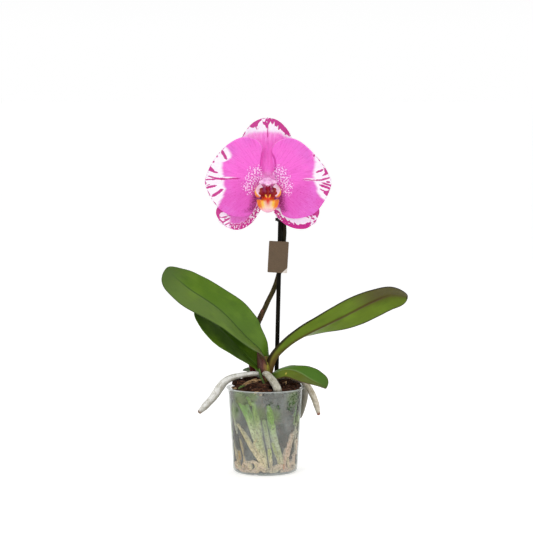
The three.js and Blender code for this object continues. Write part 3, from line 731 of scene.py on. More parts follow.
def inner_root(places, radius, top, foot, seed):
    """A root inside the pot, whose colour changes from its top to its foot."""
    radii = [share * radius for share in (0.7, 1.0, 1.12, 1.08, 1, 0.72)]
    solid = tube(wall_route(places, radius), radii, 1.0, 22, root_shape(seed, 0.08, 0.12))
    inside_wall(solid, 0.12, 0.3)
    share = smoothstep(solid.values["along"] + 0.12 * grain(solid.points, 5, 3), 0.2, 0.85)[:, None]
    return colour_values(solid, lerp(linear(top), linear(foot), share))


def inner_root_material():
    """Damp roots, each in its own colour, with pale mottles, green shadows and dark specks."""
    m = Shade("inner_root_skin", Specular_IOR_Level=0.25)
    p = m.place()
    mottle, fine = m.noise(p, 3.4, 4, 0.65), m.noise(p, 1.3, 3, 0.6)
    m.colour = m.tint()
    m.paint(m.step(mottle, 0.5, 0.68, 0, 0.6), m.mix(0.35, m.colour, (252, 248, 226)))
    m.paint(m.step(mottle, 0.48, 0.34, 0, 0.6), m.mix(0.6, m.colour, (84, 88, 34)))
    m.paint(m.step(fine, 0.52, 0.59, 0, 0.85), (74, 68, 34))
    return m.done(m.step(mottle, 0.3, 0.7, 0.4, 0.6), m.bump(m.add(mottle, fine, 0.5), 0.4))


def make_pot_roots():
    skin = inner_root_material()
    for i, root in enumerate(POT_ROOTS):
        make(f"pot_root_{i + 1}_fine", inner_root(*root, 20 + i), skin, [f"pot_root_{i + 1}"])
    finer = joined([inner_root(*root, 70 + i) for i, root in enumerate(FINE_ROOTS)])
    make("inner_roots_fine", finer, skin, [])


# ------------------------------------------------------------------ bark
BED = dict(edge_height=93, crest=105, edge_radius=40, core_inset=3.4, core_drop=4.5)
BARK = dict(seed=8, loose=210, on_wall=400, reach=38.5, left_end=-32, tan_from=30)
OVER_THE_RIM = 60  # how far from the axis a piece on the top may reach


def bed_top(r):
    share = np.minimum(r, BED["edge_radius"]) / BED["edge_radius"]
    return lerp(BED["crest"], BED["edge_height"], share**2)


def chip(rng, half, centre, frame_axes, seed, tone):
    """One broken piece of bark: a flat, split lump with rough ends."""
    rows, cols, squareness = 8, 10, 0.55
    t = np.linspace(-1, 1, rows)
    around = np.linspace(0, 2 * math.pi, cols, endpoint=False)
    taper = np.maximum((1 - np.abs(t) ** 3.5) ** 0.5 * (1 - 0.25 * rng.random() * t), 0.12)[:, None]
    y, z = (taper * np.sign(c) * np.abs(c) ** squareness for c in (np.cos(around), np.sin(around)))
    local = np.stack(np.broadcast_arrays(t[:, None], y, z), -1)
    local[..., 2] += 0.25 * rng.uniform(-1, 1) * local[..., 0] ** 2
    local = local + 0.16 * np.stack([grain(local * [1, 1.5, 1.5] + k * 9, 0.7, seed) for k in range(3)], -1)
    return closed_rings(centre + (local * half) @ frame_axes, chip_values(local, tone))


def chip_values(local, tone):
    """The tone of a piece of bark, and the coordinates that its fibres follow."""
    return {"tone": tone, "chip_x": local[..., 0], "chip_y": local[..., 1], "chip_z": local[..., 2]}


def axes_from(along, up):
    along = unit(np.array(along, float))
    side = unit(np.cross(up, along))
    return np.array([along, side, np.cross(along, side)])


# Marked pieces: half sizes, (x, y), lift over the bed, turn in degrees and tone, from dark to tan.
CHIPS = [
    ((6, 3.6, 3), (-29, -15), 1.5, 20, 0.35), ((8.5, 2.6, 1.7), (-17, -12), 1.5, 6, 0.95),
    ((9, 4, 2.8), (-9, -31), 1, 6, 0.48), ((6.5, 4.4, 3.4), (25, -24), 1, 30, 0.3),
    ((6, 4, 3.2), (30, -12), 1, -35, 0.42), ((7, 5, 3.5), (-29, 3), 1, 60, 0.3),
    ((8, 5, 3.6), (-12, 27), 1, 20, 0.5), ((7, 5, 3.4), (11, 30), 1, -40, 0.4),
]
# More loose pieces that stand up on the mound, some of them tilted: the last number is the slope.
EDGE_CHIPS = [
    ((6.5, 3.4, 3.4), (-33, -5), 8.2, 35, 0.3, 0.3), ((7, 3.5, 3.5), (-27, -9), 4, -20, 0.4, -0.1),
    ((9, 1.9, 1), (-18, -12.5), 4.6, 4, 0.95, 0.42), ((7.5, 1.5, 0.9), (-15, -16), 3, -6, 0.93, 0.34),
    ((5, 1.6, 1), (-9, -14), 4.4, 12, 0.9, 0.1), ((7, 1.4, 0.9), (-21, -17), 1.8, 10, 0.97, 0.15),
    ((6, 3.2, 2.6), (-11, -22), 3, -15, 0.45, 0), ((8, 4, 3), (-3, -27), 2.8, 8, 0.4, 0.05),
    ((6, 3, 2.4), (2, -34), 2, -12, 0.5, 0), ((4.5, 1.6, 1), (-33, -17), 4.2, 40, 0.95, 0),
    ((3.6, 1.4, 1), (-36.5, -9), 4.4, 60, 0.93, 0.1), ((8, 4, 3.4), (-19, 5), 4.2, 5, 0.3, 0),
    ((6, 4, 3), (-27, 4), 4.4, 20, 0.25, 0), ((6, 3, 2), (-33, -12), 3, 60, 0.2, 0),
    ((8, 4, 4), (24, -10), 4.6, 20, 0.25, 0.1), ((7, 3.5, 3.4), (33, -6), 4.4, -30, 0.35, 0.2),
    ((6, 3, 3), (37, 2), 4, 50, 0.3, 0.1),
    ((4, 2, 1.4), (22.5, -15), 5, 70, 0.9, 0.5), ((6, 3, 2.6), (30, -19), 3, -10, 0.45, 0),
    ((5, 2.4, 2), (23, -27), 2, 30, 0.5, 0), ((6, 3, 3), (36, -14), 2.5, 60, 0.4, 0),
    ((7, 4, 3.6), (-29, 8), 3.5, 30, 0.25, 0.1), ((8, 4, 3.4), (20, 24), 4, 30, 0.3, 0),
    ((8, 4, 3.6), (-20, 22), 3.5, -30, 0.4, 0), ((8, 4, 4), (2, 30), 4, 10, 0.35, 0),
    ((8, 4, 4), (34, 12), 3.6, -40, 0.3, 0),
]


def bark_material():
    """Broken bark with its fibres: dark, brown, or tan where the tone is high, with painted light on top."""
    m = Shade("bark", Specular_IOR_Level=0.15)
    x, y, z, tone = m.attributes("chip_x", "chip_y", "chip_z", "tone")
    apart = {0: m.combine(m.times(x, 0.35), y, z), 1: m.combine(m.times(tone, 31), m.times(tone, 17))}
    fibre = m.noise(m.node("VectorMath", apart, operation="ADD").outputs[0], 0.3, 6, 0.7)
    spots = m.noise(m.place(), 1.6, 4, 0.7)
    brown = m.mix(m.step(tone, 0.2, 0.5), (56, 31, 20), (104, 62, 40))
    m.colour = m.mix(m.step(fibre, 0.42, 0.62), (12, 7, 5), brown)
    # painted highlights: paler spots
    m.paint(m.step(spots, 0.54, 0.68, 0, 0.6), (150, 100, 76))
    # painted light: lighter where the faces look up
    m.paint(m.times(m.step(m.slope(), 0.2, 0.9), m.step(fibre, 0.42, 0.6, 0, 0.4)), (130, 84, 60))
    tan = m.mix(m.step(fibre, 0.35, 0.65), (140, 98, 58), (230, 198, 150))
    m.paint(m.step(tone, 0.72, 0.88), tan)
    # painted shade: near-black spots that stand in for the dark gaps between pieces
    m.paint(m.step(spots, 0.35, 0.5, 0.92, 0.0), (12, 7, 6))
    # painted highlights: pale spots
    m.paint(m.step(spots, 0.63, 0.69, 0, 0.6), (190, 150, 122))
    return m.done(m.step(fibre, 0.3, 0.7, 0.6, 0.9), m.bump(m.add(fibre, spots, 0.6), 0.9))


def near_any(point, curves, reach):
    """Whether a point is within reach of any curve, each a run of points and a radius."""
    return any(np.min(np.linalg.norm(c - point, axis=1)) < r + reach for c, r in curves)


def bark_core():
    """The mass under the loose pieces."""
    inset, floor = BED["core_inset"], 1.9
    profile = [(0.01, floor), (inner_radius(0) - 6, floor)]
    profile += [(inner_radius(z) - inset, z) for z in (10, 30, 50, 70, 86)]
    profile += [(r, bed_top(r) - BED["core_drop"]) for r in (34, 24, 12, 0.01)]
    even = Route([(r, z, 0) for r, z in profile]).even(np.linspace(0, 1, 90))
    rings = round_axis(even[:, :1], np.linspace(0, 2 * math.pi, 90, endpoint=False), even[:, 1:2])
    rings[..., :2] *= (1 + 0.03 * grain(rings, 5, 2) + 0.03 * grain(rings, 2.2, 4))[..., None]
    return closed_rings(rings, chip_values(rings / [6, 4, 4], 0.1))


def marked_chips(rng):
    """The pieces that the tables place one by one."""
    for i, (half, (x, y), lift, turn, tone, *slope) in enumerate(CHIPS + EDGE_CHIPS):
        turn = math.radians(turn)
        axes = axes_from((math.cos(turn), math.sin(turn), *(slope or [0.1])), (0.05, 0, 1))
        centre = np.array([x, y, bed_top(math.hypot(x, y)) + lift])
        yield chip(rng, np.array(half), centre, axes, 40 + i, tone)


def loose_chips(rng):
    """Pieces strewn over the top, clear of whatever stands in the bed."""
    clear = [(Route(route).at(np.linspace(0, 1, 60)), max(radii)) for route, radii in AERIAL_ROOTS.values()]
    clear.append((Route(YOUNG_ROOT[0]).at(np.linspace(0, 1, 30)), 2))
    clear.append((np.array([[0, 0, z] for z in range(84, 130, 2)], float), 7.5))
    clear.append((Route(STEM_ROUTE).at(np.linspace(0, 0.3, 60)), 3.2))
    clear.append((np.linspace(STAKE["foot"], STAKE["head"], 200), STAKE["radius"]))
    made = 0
    while made < BARK["loose"]:
        r, turn = BARK["reach"] * math.sqrt(rng.random()), rng.uniform(0, 2 * math.pi)
        half = np.array([rng.uniform(2.6, 6.2), rng.uniform(1.6, 3.4), rng.uniform(1.0, 2.4)])
        r = min(r, inner_radius(BED["edge_height"]) - 1.5 - half[1])
        lift = rng.uniform(-1.5, 2.2) + 1.4 * rng.random() * smoothstep(r, 14, 26)
        centre = round_axis(r, turn, bed_top(r) + lift)
        if near_any(centre, clear, half[1] * 0.8) or centre[0] < BARK["left_end"]:
            continue
        along = (rng.gauss(0, 1), rng.gauss(0, 1), rng.gauss(0, 0.35))
        up = (rng.gauss(0, 0.45), rng.gauss(0, 0.45), 1)
        tone = rng.choice([0.2, 0.3, 0.4, 0.5, 0.3, 0.2, 0.4, 0.92 if r > BARK["tan_from"] else 0.3])
        yield chip(rng, half, centre, axes_from(along, up), 60 + made, tone)
        made += 1


def wall_chips(rng):
    """Pieces that press against the wall, between the roots there."""
    roots = [(Route(wall_route(p, r)).at(np.linspace(0, 1, 40)), r) for p, r, _, _ in POT_ROOTS + FINE_ROOTS]
    made = 0
    while made < BARK["on_wall"]:
        z, turn = rng.uniform(3, 90), rng.uniform(-math.pi, math.pi)
        half = np.array([rng.uniform(3, 7), rng.uniform(2, 4), rng.uniform(1.6, 2.6)])
        centre = round_axis(inner_radius(z) - half[2] - rng.uniform(-0.3, 1.2), turn, z)
        if near_any(centre, roots, half[1] * 0.7):
            continue
        across = np.array([math.cos(turn), math.sin(turn), 0])
        along = across * rng.gauss(0, 1) + np.array([0, 0, rng.gauss(0, 1)])
        axes = axes_from(along, (math.sin(turn), -math.cos(turn), 0.01))
        yield chip(rng, half, centre, axes, 400 + made, rng.choice([0.2, 0.3, 0.45, 0.5]))
        made += 1


def make_bark():
    rng = random.Random(BARK["seed"])
    whole = joined([bark_core(), *marked_chips(rng), *loose_chips(rng), *wall_chips(rng)])
    inside_wall(whole, 0.3, GAP, loose=True)
    replaced = ["bark_bed"] + [f"bark_chip_{i + 1}" for i in range(len(CHIPS))]
    make("bark_pieces", whole, bark_material(), replaced, sharp=38)


# ------------------------------------------------------------------ crown and leaves
def leaf_half_width(leaf, u, v):
    """From the midrib to the edge, on the side that u is on."""
    rise = smoothstep(v, -0.05, leaf["widest"])
    past = np.clip((v - leaf["widest"]) / (1 - leaf["widest"]), 0, 1)
    closing = np.sqrt(np.maximum(1 - past ** leaf["tip_power"], 0))
    w = np.where(v < leaf["widest"], lerp(leaf["base"], leaf["width"], rise), leaf["width"] * closing)
    return np.maximum(w * np.where(u < 0, *(smoothly(t, v, 0.07) for t in leaf["trim"])), 0.5)


def leaf_points(leaf, u, v, side):
    """Points of a leaf: u from -1 to 1 across, v from 0 to 1 along, side 1 above and -1 below."""
    route, seed = leaf["route"], leaf["seed"]
    tangent = route.tangent(v)
    level = unit(np.cross(tangent, [0, 0, 1]))
    above = np.cross(level, tangent)
    roll = np.radians(smoothly(leaf["roll"], v))[..., None]
    lateral = level * np.cos(roll) + above * np.sin(roll)
    fold = np.radians(smoothly(leaf["fold"], v, 0.14))
    w = leaf_half_width(leaf, u, v)
    ridge = 0.1
    lift = (np.hypot(u, ridge) - ridge) * w * np.sin(fold)
    blade = lerp(3.0, 1.5, smoothstep(v, 0, 0.3))
    thick = lerp(blade, 0.9, u * u) / 2 * np.sqrt(1 - 0.8 * np.abs(u) ** 9)
    along = v * route.length
    wave = 0.25 * grain_at(along, u * w, 0, 40, seed)
    wave = wave + 0.1 * (1 - u * u) * grain_at(along, u * w * 1.5, 40, 13, seed)
    rim_wave = 0.12 * np.abs(u) ** 3 * np.sin(along / 16 + 2 * seed + np.sign(u)) * leaf["ripple"]
    groove = -0.75 * bell(u * w, 0, 1.3) * smoothstep(v, 0.03, 0.2) * (1 - 0.6 * smoothstep(v, 0.8, 1))
    keel = 0.55 * bell(u * w, 0, 1.6) * (1 - smoothstep(v, 0.75, 0.98))
    middle = groove if side > 0 else groove * 0.3 - keel
    detail = smoothstep(v, 0.05, 0.35) * (wave + rim_wave) + middle
    notch = leaf["notch"] * bell(u, 0, 0.22) * smoothstep(v, 0.93, 1)
    points = route.at(v) + lateral * (u * w * np.cos(fold))[..., None]
    outward = np.cross(lateral, tangent) * (lift + side * thick + detail)[..., None]
    return points + outward - tangent * notch[..., None]


LEAF_GRID = dict(step=1.1, cols=55)
# A leaf's trim is a factor on its width along each half, and its roll and fold are in degrees.
LEAVES = {
    "leaf_upper_left": dict(
        midrib=[
            (0, -1, 126), (-7.4, -4.5, 141.9), (-19.6, -8.3, 154.5), (-31.6, -11.1, 167.7),
            (-43.6, -13, 180.9), (-57, -14.6, 192.8), (-71.7, -16, 203.1), (-86.6, -17.2, 213),
            (-100.5, -17.8, 224.4), (-113, -18, 237.3),
        ],
        trim=([1, 1.1, 0.92, 0.77, 0.86, 1.02, 1.12, 1.6], [0.8, 0.84, 0.87, 0.94, 0.89, 0.97, 1.03, 0.83]),
        base=9, width=30.5, widest=0.3, tip_power=2.8, notch=1.6, ripple=0.5,
        roll=[44, 46, 49, 48, 47, 48, 48], fold=[32, 32, 28, 9, 5, 1, 0],
    ),
    "leaf_lower_left": dict(
        midrib=[
            (-2, 1, 112), (-9, 2, 120), (-18.3, 3, 129.3), (-29, 4, 141.2),
            (-40.6, 4, 154), (-52, 4, 165.6), (-63.6, 3, 177.4), (-79, 2, 194),
        ],
        trim=([1, 1, 1.04, 0.96, 0.98, 1.11, 1.08, 1.3], [1]),
        base=6, width=25.2, widest=0.55, tip_power=2.4, notch=0.8, ripple=0.4,
        roll=[36, 40, 44, 45, 45], fold=[35, 26, 10, 7, 5],
    ),
    "leaf_right": dict(
        midrib=[
            (6, -2, 112), (12.3, -4.1, 132), (27.7, -3.3, 146.9), (45.9, -1.9, 158.2), (65.1, -0.8, 167.9),
            (84.5, -0.1, 177.4), (103.7, 0.5, 187.1), (122.9, 1, 196.8), (143.2, 1.2, 204.1),
            (164.2, 0, 202.2),
        ],
        trim=([1, 0.9, 0.9, 0.8, 1.02, 1.04, 0.98, 1.12], [1, 0.98, 0.9, 0.87, 0.94, 1, 1.03, 1.2]),
        base=8, width=25, widest=0.72, tip_power=3.4, notch=0.6, ripple=0.3,
        roll=[0, 15, 41, 48, 50, 45, 38], fold=[66, 52, 25, 5, -3, -13, -16],
    ),
    "leaf_small_right": dict(
        midrib=[
            (5, -5, 109), (11.3, -7.1, 114.2), (18.3, -9.3, 118.3), (26.1, -11.9, 119.9),
            (33.9, -15, 118.9), (41.3, -17.9, 116), (48.3, -20.3, 112), (55.5, -22.2, 108),
            (63, -23.6, 104.4), (69.9, -25, 99.8),
        ],
        trim=([1, 1.35, 0.85, 0.65, 0.85, 1, 1.12, 1.3], [1.2, 1.25, 0.94, 0.91, 0.95, 0.94, 0.92, 0.64]),
        base=6, width=17.2, widest=0.62, tip_power=2.2, notch=0.5, ripple=0.4,
        roll=[-30, -31, -30, -28, -24, -22], fold=[0, -25, -6, 10, 20, 18],
    ),
    "leaf_small_back": dict(
        midrib=[(-3, 5, 105), (-11, 12, 112), (-18, 17, 115), (-26, 21, 114.5)],
        trim=([1], [1]), base=5, width=8, widest=0.5, tip_power=2, notch=0.2, ripple=0.3,
        roll=[10, 12, 14, 14], fold=[35, 14, 10, 8],
    ),
}


LEAF_LOOKS = {
    "leaf_upper_left": dict(
        back_half=(80, 114, 18), front_half=(94, 120, 50), under=(84, 108, 46), base=(92, 128, 34),
        tip=(74, 98, 42), margin=(58, 80, 20), rib=(50, 76, 20), rib_under=(104, 74, 50),
        front_base=(104, 60, 56),
    ),
    "leaf_lower_left": dict(
        back_half=(56, 86, 16), front_half=(60, 88, 16), under=(76, 98, 40), base=(86, 122, 32),
        tip=(50, 80, 14), margin=(92, 124, 30), rib=(66, 96, 30), rib_under=(102, 76, 52),
        shine=0.1, coat=0,
    ),
    "leaf_right": dict(
        back_half=(74, 108, 28), front_half=(80, 112, 34), under=(94, 116, 28), base=(132, 108, 50),
        tip=(70, 56, 18), margin=(26, 8, 10), rib=(56, 80, 22), rib_under=(70, 42, 24),
        tip_from=0.68, rib_half=3.4, rim_width=2.6, tip_side=1, shine=0.08, coat=0,
    ),
    "leaf_small_right": dict(
        back_half=(100, 112, 34), front_half=(80, 120, 36), under=(104, 100, 40), base=(48, 82, 16),
        tip=(78, 104, 38), margin=(84, 62, 28), rib=(124, 150, 84), rib_under=(104, 78, 52),
        spot=(6.6, 24.6),
    ),
    "leaf_small_back": dict(
        back_half=(44, 72, 18), front_half=(46, 74, 20), under=(52, 74, 26), base=(42, 66, 18),
        tip=(52, 78, 22), margin=(58, 60, 26), rib=(60, 84, 34), rib_under=(70, 62, 36),
    ),
}


def leaf_material(
    name, back_half, front_half, under, base, tip, margin, rib, rib_under, front_base=None,
    tip_from=0.84, tip_side=0, rib_half=1.5, rim_width=1.5, spot=None, shine=0.22, coat=0.04,
):
    """Waxy leaf: two halves that take the light differently, fine veins along the blade, a darker
    midrib line and a thin coloured margin. The underside has its own colours. tip_side keeps the
    tip's colour to one half, and spot is the place of one yellow spot, across and along the leaf."""
    m = Shade(name, Specular_IOR_Level=shine, Coat_Weight=coat, Coat_Roughness=0.3)
    across, along, below, to_edge = m.attributes("across", "along", "below", "to_edge")
    mm_across, mm_along = m.attributes("mm_across", "mm_along")
    veins = m.noise(m.combine(mm_across, m.times(mm_along, 0.035), m.times(below, 9.0)), 0.9, 4, 0.6)
    broad = m.noise(m.combine(mm_across, m.times(mm_along, 0.45), m.times(below, 50)), 11, 3, 0.55)
    soft = m.noise(m.combine(mm_across, mm_along, 7.0), 24, 3, 0.5)
    fleck = m.noise(m.combine(mm_across, mm_along, 3.0), 0.8, 3, 0.6)

    # painted light: each half has its own tone for how it faces the light
    top = m.mix(m.step(across, -0.06, 0.06), front_half, back_half)
    m.colour = m.mix(below, top, under)
    m.paint(m.step(soft, 0.42, 0.72, 0, 0.6), m.mix(0.5, m.colour, (118, 150, 38)))
    m.paint(m.step(broad, 0.5, 0.75, 0, 0.4), m.mix(0.6, m.colour, (40, 66, 20)))
    m.paint(m.step(veins, 0.5, 0.68, 0, 0.3), m.mix(0.5, m.colour, (36, 62, 20)))
    m.paint(m.step(fleck, 0.66, 0.8, 0, 0.2), (132, 156, 72))
    end = m.step(m.add(along, soft, 0.12), tip_from, tip_from + 0.22, 0, 0.85)
    if tip_side:
        end = m.times(end, m.step(m.times(across, tip_side), -0.45, 0.2, 0.15, 1))
    m.paint(end, tip)
    foot = m.mix(m.step(m.stir(across, veins, 0.8), -0.5, 0.1), front_base or base, base)
    m.paint(m.step(m.add(along, broad, 0.06), 0.04, 0.26, 1.0, 0.0), foot)

    m.paint(m.step(m.add(to_edge, broad, 0.5), 0.4 * rim_width, rim_width, 0.9, 0), margin)
    gap = m.math("ABSOLUTE", m.stir(mm_across, broad, 0.7))
    line = m.times(m.step(gap, 0.16 * rib_half, rib_half, 1.0, 0), m.step(along, 0.78, 0.97, 1, 0))
    m.paint(m.times(line, 0.75), m.mix(below, rib, rib_under))
    if spot:
        where = {0: m.combine(mm_across, mm_along), 1: (*spot, 0)}
        gap = m.node("VectorMath", where, operation="DISTANCE").outputs["Value"]
        m.paint(m.step(m.add(gap, fleck, 2), 1.7, 3, 0.9, 0), (206, 190, 80))

    rough = m.step(m.add(broad, fleck, 0.2), 0.35, 0.9, 0.3, 0.46)
    return m.done(rough, m.bump(m.add(m.times(veins, 0.6), fleck, 0.16), 0.16))


def make_leaf(name, material):
    leaf = dict(LEAVES[name], seed=list(LEAVES).index(name))
    leaf["route"] = Route(leaf["midrib"])
    even = np.linspace(0, 1, int(leaf["route"].length / LEAF_GRID["step"]))
    line = lerp(even, np.sin(even * math.pi / 2), 0.6)
    line = np.concatenate([line[:-1], lerp(line[-2], 1, np.array([0.35, 0.6, 0.78, 0.9, 0.97, 1]))])
    spread = np.linspace(-1, 1, LEAF_GRID["cols"])
    spread = np.sign(spread) * (1 - (1 - np.abs(spread)) ** 1.15)
    v, u = np.meshgrid(line, spread, indexing="ij")
    front, back = leaf_points(leaf, u, v, 1), leaf_points(leaf, u, v, -1)
    width = np.linalg.norm(front[:, -1] - front[:, 0], axis=1)[:, None] / 2
    to_tip = (1 - v) * leaf["route"].length
    values = {
        "across": u, "along": v, "mm_across": u * width, "mm_along": v * leaf["route"].length,
        "to_edge": np.minimum((1 - np.abs(u)) * width, to_tip * 1.3),
        "below": (np.zeros_like(u), np.ones_like(u)),
    }
    make(name + "_fine", shell(front, back, values), material, [name])


def make_leaves():
    for name, look in LEAF_LOOKS.items():
        make_leaf(name, leaf_material(name + "_skin", **look))


# The short stem at the plant's foot, and the leaf base that clasps it: routes and radii.
CROWN = ([(0, 0, 84), (0, 0, 105), (0, 0, 134)], [7.3, 7.3, 7.0, 6.6, 6.2, 5.4, 3.6])
CLASP = ([(-2, 0.5, 112), (-4.6, 0.5, 126), (-8.5, 0.5, 139)], [5, 5.6, 4.4, 1.2])
# The sheath's colours from the left side to the right.
SHEATH = [
    (0.0, (96, 62, 52)), (0.2, (116, 66, 62)), (0.45, (150, 112, 62)),
    (0.66, (140, 118, 50)), (0.8, (158, 160, 44)), (0.97, (128, 118, 48)),
]


def crown_material():
    """Leaf bases whose colour changes from the left side to the right, with lines along them."""
    m = Shade("crown_sheath", Specular_IOR_Level=0.25)
    lines = m.noise(m.place((1, 1, 0.12)), 0.6, 4, 0.65)
    blotch = m.noise(m.place(), 3.5, 4, 0.6)
    m.colour = m.ramp(m.step(m.stir(m.attribute("sideways"), blotch, 4), -7, 7), SHEATH)
    m.paint(m.step(lines, 0.48, 0.66, 0, 0.55), (66, 34, 34))
    m.paint(m.step(m.height(), 100, 108, 0.75, 0.0), (52, 34, 24))
    return m.done(m.step(blotch, 0.3, 0.7, 0.36, 0.5), m.bump(lines, 0.3))


def make_crown():
    """The short stem, wrapped in the folded bases of the leaves."""

    def wraps(s, around, points):
        overlap = 0.10 * np.sin(around * 2 + s * 5) + 0.07 * ((around / (2 * math.pi) + s * 1.7) % 1 - 0.5)
        ribs = 0.02 * np.sin(around * 13 + 3 * s)
        return 1 + overlap * smoothstep(s, 0.2, 0.5) * 0.8 + ribs + 0.05 * grain(points, 5, 8)

    solid = joined([tube(*CROWN, 0.5, 72, wraps), tube(*CLASP, 0.5, 48, wraps)])
    solid.values["sideways"] = solid.points[:, 0]
    make("crown_fine", solid, crown_material(), ["crown"])


# ------------------------------------------------------------------ stem, stake, clips and tag
STAKE = dict(radius=2.4, foot=(10.4, 12, 4), head=(17.5, 12, 300))
STEM_RADII = [3.2, 3, 2.8, 2.6, 2.5, 2.3]
STEM_ROUTE = [
    (-5, 5, 100), (-12, 9, 110), (-16, 11, 122), (-17, 12, 138), (-13, 14, 156), (-6.5, 16, 175),
    (-1.2, 17, 186), (3.5, 17.8, 196.4), (9.7, 19, 209.1), (14.2, 20, 222), (17.8, 20, 236),
    (20.2, 17.8, 252), (21.4, 15.5, 267), (21.9, 14.6, 278), (20.8, 16.5, 289), (17, 20, 302),
]
BRACT = dict(spans=[(125, 137), (173, 186), (233, 245)], thickness=0.5)
TAG_CLIP = dict(radius=3.9, height=5, middle=250, pad=(9, 1, 8))
STEM_CLIP = dict(radius=3.8, bore=2.75, height=5, middle=291, tab=(4, 1.6, 3.6))
TAG = dict(width=22.8, height=36.5, thickness=0.7, corner=1.0, lean=3.2, fold=6.4, rib=0.95)


def bract(route, foot, top):
    """A papery leaf that clasps the stem between two heights, thicker where it grows from the stem."""
    a, b = route.fraction_at(foot), route.fraction_at(top)
    shares = ((0, 1.1), (0.5, 1), (1, 0.25))
    radii = [evenly(STEM_RADII, lerp(a, b, s)) + BRACT["thickness"] * share for s, share in shares]

    def wrap(s, around, points):
        pointed = 1 + 0.16 * np.cos(around) * smoothstep(s, 0.55, 1)
        return pointed + 0.16 * bell(s, 0.04, 0.07) + 0.02 * np.sin(around * 12)

    made = tube(route.at(np.linspace(a, b, 5)), radii, 0.4, 36, wrap)
    along = made.values["along"]
    made.values.update(bract=np.ones_like(along), bract_tip=smoothstep(along, 0.72, 0.98))
    made.values["along"] = lerp(a, b, along)
    return made


def stem_material():
    """Striped dark green and brown, red at the foot, with paler bracts that end in pink."""
    m = Shade("stem_skin", Specular_IOR_Level=0.05)
    around, along, on_bract, bract_tip, red = m.attributes("around", "along", "bract", "bract_tip", "red")
    stripes = m.noise(m.combine(around, m.times(along, 9)), 0.26, 3, 0.6)
    blotch = m.noise(m.place((1, 1, 0.4)), 3, 4, 0.6)
    fine = m.noise(m.place(), 0.5, 3, 0.6)
    m.colour = m.mix(m.step(stripes, 0.4, 0.66), (42, 36, 20), (82, 74, 42))
    m.paint(m.step(blotch, 0.5, 0.75, 0, 0.5), (74, 46, 36))
    m.paint(m.times(on_bract, 0.9), m.mix(m.step(blotch, 0.35, 0.65), (56, 42, 28), (84, 62, 42)))
    m.paint(m.times(bract_tip, 0.8), (150, 84, 82))
    m.paint(m.times(red, 0.85), (92, 16, 26))
    m.paint(m.step(fine, 0.64, 0.8, 0, 0.25), (112, 98, 66))
    m.paint(m.step(m.height(), 222, 254, 0, 0.85), (28, 24, 17))
    return m.done(m.step(blotch, 0.3, 0.7, 0.38, 0.52), m.bump(m.add(stripes, fine, 0.4), 0.2))


def make_stem():
    def growth(s, around, points):
        return 1 + 0.03 * np.sin(around * 5 + 2 * s) + 0.03 * grain(points, 4, 31)

    route = Route(STEM_ROUTE)
    stem = tube(route, [r + 0.2 for r in STEM_RADII], 0.9, 28, growth)
    stem.values["red"] = smoothstep(stem.points[:, 2], 128, 114)
    whole = joined([stem, *(bract(route, *span) for span in BRACT["spans"])])
    make("flower_stem_fine", whole, stem_material(), ["flower_stem"])


def stake_material():
    """Near-black plastic with drawn-out streaks, worn in places and dusty with bark at the foot."""
    m = Shade("stake_plastic", Specular_IOR_Level=0.03)
    streak, worn = m.noise(m.place((1, 1, 0.05)), 0.8, 3, 0.6), m.noise(m.place(), 2.2, 4, 0.65)
    m.colour = m.mix(m.step(streak, 0.35, 0.7), (9, 8, 6), (30, 27, 21))
    m.paint(m.step(worn, 0.6, 0.8, 0, 0.35), (72, 62, 50))
    m.paint(m.step(m.height(), 104, 128, 0.5, 0.0), (52, 36, 24))
    return m.done(m.step(worn, 0.3, 0.7, 0.4, 0.6), m.bump(m.add(streak, worn, 0.5), 0.12))


def make_stake():
    def ribs(s, around, points):
        return 1 + 0.025 * np.cos(around * 14)

    solid = tube([STAKE["foot"], STAKE["head"]], [STAKE["radius"] * 1.03] * 2, 2.0, 70, ribs)
    make("stake_fine", solid, stake_material(), ["stake"])


def clip_material():
    """Near-black plastic, a little worn."""
    m = Shade("clip_plastic", Specular_IOR_Level=0.15)
    worn, fine = m.noise(m.place(), 1.8, 4, 0.6), m.noise(m.place(), 0.25, 2)
    m.colour = m.mix(m.step(worn, 0.4, 0.75), (10, 9, 7), (32, 28, 23))
    return m.done(m.step(worn, 0.3, 0.7, 0.3, 0.5), m.bump(m.add(fine, worn, 2), 0.03))


def bevelled_box(size, centre, bevel=0.35):
    """A box with rounded edges, as a stack of rounded outlines."""
    half_x, half_y, half_z = (side / 2 - bevel for side in size)
    quarter = np.linspace(0, math.pi / 2, 5)
    rows = []
    for t in np.linspace(-math.pi / 2, math.pi / 2, 7):
        ring = []
        for corner, (x, y) in enumerate(((1, 1), (-1, 1), (-1, -1), (1, -1))):
            for a in quarter + corner * math.pi / 2:
                reach = bevel * math.cos(t)
                place = (half_x * x + reach * math.cos(a), half_y * y + reach * math.sin(a))
                ring.append((*place, half_z * np.sign(t) + bevel * math.sin(t)))
        rows.append(ring)
    return closed_rings(np.array(rows) + np.array(centre))


def ring_band(radius, inner, height, centre):
    """An upright round band with softened edges."""
    half, soft = height / 2, 0.4
    outside = [(radius - soft, -half), (radius, -half + soft), (radius, half - soft), (radius - soft, half)]
    return turned([(inner, -half), *outside, (inner, half)], 56).moved(lambda points: points + centre)


